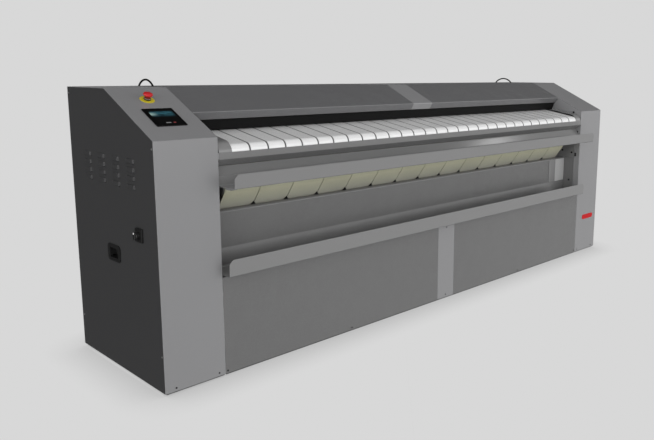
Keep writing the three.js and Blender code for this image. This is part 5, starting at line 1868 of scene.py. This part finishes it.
class IRONER_OT_screws(IronerPiece, bpy.types.Operator):
    """Screws of the covers and panels, and bolts of the inner walls and brackets"""

    bl_idname = "ironer.screws"
    bl_label = "Screws and bolts"

    def execute(self, context):
        model = screw("screw_model", sizes().screw_radius / MM, SCREW_HEIGHT)
        for sign, word in ((-1, "left"), (1, "right")):
            places = [spot(sign * HALF, y, z) for y, z in SIDE_SCREWS]
            normal = Vector((sign, 0, 0))
            screw_row(f"side_screw_{word}", model, "sheet_zinc", places, normal)
        places = [spot(x, 0, z) for x, z in FRONT_SCREWS]
        screw_row("front_screw", model, "black_paint", places, Vector((0, -1, 0)))
        back = [(x, z) for x in COVER_SCREWS_X for z in COVER_SCREWS_Z]
        back += [(x, z) for x in PANEL_SCREWS_X for z in PANEL_SCREWS_Z]
        places = [spot(x, DEPTH, z) for x, z in back]
        screw_row("back_screw", model, "drive_steel", places, Vector((0, 1, 0)))
        bpy.data.objects.remove(model)
        bolt = screw("bolt_model", BOLT_RADIUS, BOLT_HEIGHT, 6)
        for sign, word in ((-1, "left"), (1, "right")):
            for stem, x, bolts in BOLTS:
                places = [spot(sign * x, y, z) for y, z in bolts]
                screw_row(f"{stem}_{word}", bolt, "black_paint", places, Vector((-sign, 0, 0)))
        bpy.data.objects.remove(bolt)
        return self.finished()


def paint_node(name, slot, look=None):
    """Give a solid that stays its material."""
    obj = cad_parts[name]
    obj.data.materials.clear()
    obj.data.materials.append(material(look or slot))


FEET = [f"levelling_foot_{row}_{side}" for row in ("front", "back") for side in ("left", "right")]
HIDDEN = {
    "polished_steel": ["heated_cylinder"],
    "heater_steel": ["heater_bundle"],
    "frame_paint": ["side_frame_left", "side_frame_right", "base_frame"],
    "foot_rubber": FEET,
    "drive_steel": ["cylinder_sprocket", "feed_sprocket"],
    "chain_steel": ["feed_chain"],
    "casting_paint": ["cylinder_bearing_left", "cylinder_bearing_right", "gearmotor"],
    "sheet_zinc": ["fan_housing", "fan_impeller"],
    "grey_paint": ["inner_wall_left", "inner_wall_right", "control_box"],
}


class IRONER_OT_works(IronerPiece, bpy.types.Operator):
    """Materials for the frame, drive, fan and other works behind the covers"""

    bl_idname = "ironer.works"
    bl_label = "Works behind the covers"

    def execute(self, context):
        for slot, names in HIDDEN.items():
            for name in names:
                paint_node(name, slot)
        return self.finished()


# Stage


def add_world(stage):
    """Light a band in front and at the left end, a dome above, and low in front of both ends.

    Scattered light also sees a glow behind the machine. The camera sees a plain backdrop.
    """
    world = bpy.data.worlds.new("Studio")
    bpy.context.scene.world = world
    finish = Finish(world)
    way = finish.node("ShaderNodeTexCoord", out="Generated")
    back = finish.apart(way, "Y")
    front = finish.spread(back, -0.1, -0.6, 0, 1)
    height = finish.apart(way, "Z")
    band = finish.spread(height, -0.03, 0.04, 0, 1) * finish.spread(height, 0.3, 0.5, 1, 0)
    dome = finish.spread(height, 0.35, 0.7, 0, 1) * finish.spread(back, 0.42, 0.0, 0, 1)
    side = finish.apart(way, "X")
    left = finish.spread(side, -0.5, -0.9, 0, 1) * finish.spread(back, 0.6, 0.3, 0, 1)
    ends = finish.spread(side, 0.3, 0.85, 0, 1) + finish.spread(side, -0.3, -0.8, 0, 3)
    low = finish.spread(height, 0.04, -0.03, 0, 1) * ends
    low = low * finish.spread(back, -0.1, -0.4, 0, 1)
    light = (front * stage.front_light + left * stage.left_light) * band
    light = light + dome * stage.top_light + low * stage.low_light + stage.side_light
    soft = finish.node("ShaderNodeLightPath", out="Is Diffuse Ray")
    behind = finish.spread(back, 0.3, 0.7, 0, 1) * finish.spread(height, 0.3, 0.15, 0, 1)
    light = light + behind * soft * stage.back_light
    seen = finish.node("ShaderNodeLightPath", out="Is Camera Ray")
    plain = seen * stage.background + (1 - seen) * light
    shader = finish.node("ShaderNodeBackground", None, {"Strength": plain, "Color": shade(1)})
    finish.node("ShaderNodeOutputWorld", None, {"Surface": shader})


FLOOR_SIZE = 400
SHADOW_REACH = 0.22
SHADOW_FALL = 0.8
SHADOW_TONE = 0.42


def add_floor(stage):
    """A large pale floor that glows evenly, with a painted soft shadow where the machine stands."""
    fresh()
    bpy.ops.mesh.primitive_plane_add(size=FLOOR_SIZE)
    floor = seated("studio_floor")
    finish = Finish(bpy.data.materials.new("pale_floor"))
    reach = {"Distance": SHADOW_REACH}
    near = finish.node("ShaderNodeAmbientOcclusion", {"samples": 8}, reach, out="AO")
    seen = finish.node("ShaderNodeLightPath", out="Is Camera Ray")
    tone = finish.spread(near**SHADOW_FALL, 0.0, 1.0, SHADOW_TONE, 1.0) * stage.background
    level = seen * tone + (1 - seen) * stage.floor_light
    glow = finish.node("ShaderNodeEmission", None, {"Color": shade(1), "Strength": level})
    finish.node("ShaderNodeOutputMaterial", None, {"Surface": glow})
    floor.data.materials.append(finish.owner)
    floor.visible_glossy = False


LAMP_PLACE = (8.95, -4.58, 5.45)
LAMP_TARGET = (0.48, -0.34, 0.94)
LAMP_SIZE = 0.5


def add_lamp(power):
    """A small square lamp high at the front right, turned to the wall of the upper trough."""
    fresh()
    bpy.ops.object.light_add(type="AREA", location=LAMP_PLACE)
    lamp = bpy.context.object
    lamp.name = "strip_lamp"
    lamp.data.shape = "RECTANGLE"
    lamp.data.size, lamp.data.size_y = LAMP_SIZE, LAMP_SIZE
    lamp.data.energy = power
    way = Vector(LAMP_TARGET) - Vector(LAMP_PLACE)
    lamp.rotation_euler = way.to_track_quat("-Z", "Y").to_euler()


# The camera's place in metres, its turn in degrees, and its film
CAMERA_PLACE = (-3.1579, -2.9701, 1.3632)
CAMERA_YAW = 45.934
CAMERA_PITCH = -9.549
CAMERA_ROLL = 0.326
CAMERA_SHIFT = (-0.0975, -0.0463)
CAMERA_SENSOR = 36


def add_camera(stage):
    """The camera at the picture's angle, with its roll and shift."""
    fresh()
    bpy.ops.object.camera_add(location=CAMERA_PLACE)
    camera = bpy.context.object
    turns = (CAMERA_YAW, CAMERA_PITCH, CAMERA_ROLL)
    yaw, pitch, roll = (math.radians(angle) for angle in turns)
    level_reach = math.cos(pitch)
    way = Vector((math.sin(yaw) * level_reach, math.cos(yaw) * level_reach, math.sin(pitch)))
    camera.rotation_mode = "QUATERNION"
    level = way.to_track_quat("-Z", "Y")
    camera.rotation_quaternion = level @ Quaternion((0, 0, 1), roll)
    camera.data.sensor_width = CAMERA_SENSOR
    camera.data.lens = stage.lens
    camera.data.shift_x, camera.data.shift_y = CAMERA_SHIFT
    bpy.context.scene.camera = camera


class IRONER_OT_stage(IronerPiece, bpy.types.Operator):
    """Pale floor, soft studio light and the camera"""

    bl_idname = "ironer.stage"
    bl_label = "Stage"

    def execute(self, context):
        stage = bpy.context.scene.ironer_stage
        bpy.context.scene.view_settings.view_transform = "Standard"
        add_world(stage)
        add_floor(stage)
        add_lamp(stage.lamp)
        add_camera(stage)
        return self.finished()


PIECES = (
    IRONER_OT_side_panels,
    IRONER_OT_front_covers,
    IRONER_OT_top_covers,
    IRONER_OT_back,
    IRONER_OT_hood,
    IRONER_OT_lower_front,
    IRONER_OT_feed_trough,
    IRONER_OT_tray,
    IRONER_OT_guard,
    IRONER_OT_feed_bands,
    IRONER_OT_ironing_bands,
    IRONER_OT_rollers,
    IRONER_OT_comb,
    IRONER_OT_touch_screen,
    IRONER_OT_emergency_stop,
    IRONER_OT_isolator,
    IRONER_OT_pull_handle,
    IRONER_OT_hoops,
    IRONER_OT_red_plate,
    IRONER_OT_brackets,
    IRONER_OT_screws,
    IRONER_OT_works,
    IRONER_OT_stage,
)


class IRONER_PT_panel(bpy.types.Panel):
    """The ironer's pieces, one button each"""

    bl_label = "Rotary ironer"
    bl_space_type = "VIEW_3D"
    bl_region_type = "UI"
    bl_category = "Ironer"

    def draw(self, context):
        scene = context.scene
        for group in (scene.ironer_sizes, scene.ironer_colours, scene.ironer_stage):
            for key in group.bl_rna.properties.keys():
                if key not in ("rna_type", "name"):
                    self.layout.prop(group, key)
        for piece in PIECES:
            self.layout.operator(piece.bl_idname)


CLASSES = (IronerSizes, IronerColours, IronerStage, *PIECES, IRONER_PT_panel)


def register():
    """Register the classes and hang the settings on the scene."""
    for item in CLASSES:
        bpy.utils.register_class(item)
    bpy.types.Scene.ironer_sizes = bpy.props.PointerProperty(type=IronerSizes)
    bpy.types.Scene.ironer_colours = bpy.props.PointerProperty(type=IronerColours)
    bpy.types.Scene.ironer_stage = bpy.props.PointerProperty(type=IronerStage)


def unregister():
    """Take the settings and the classes away."""
    del bpy.types.Scene.ironer_stage
    del bpy.types.Scene.ironer_colours
    del bpy.types.Scene.ironer_sizes
    for item in reversed(CLASSES):
        bpy.utils.unregister_class(item)


def main():
    """Build every piece and the stage."""
    register()
    for piece in PIECES:
        group, name = piece.bl_idname.split(".")
        getattr(getattr(bpy.ops, group), name)()


if __name__ == "__main__":
    main()
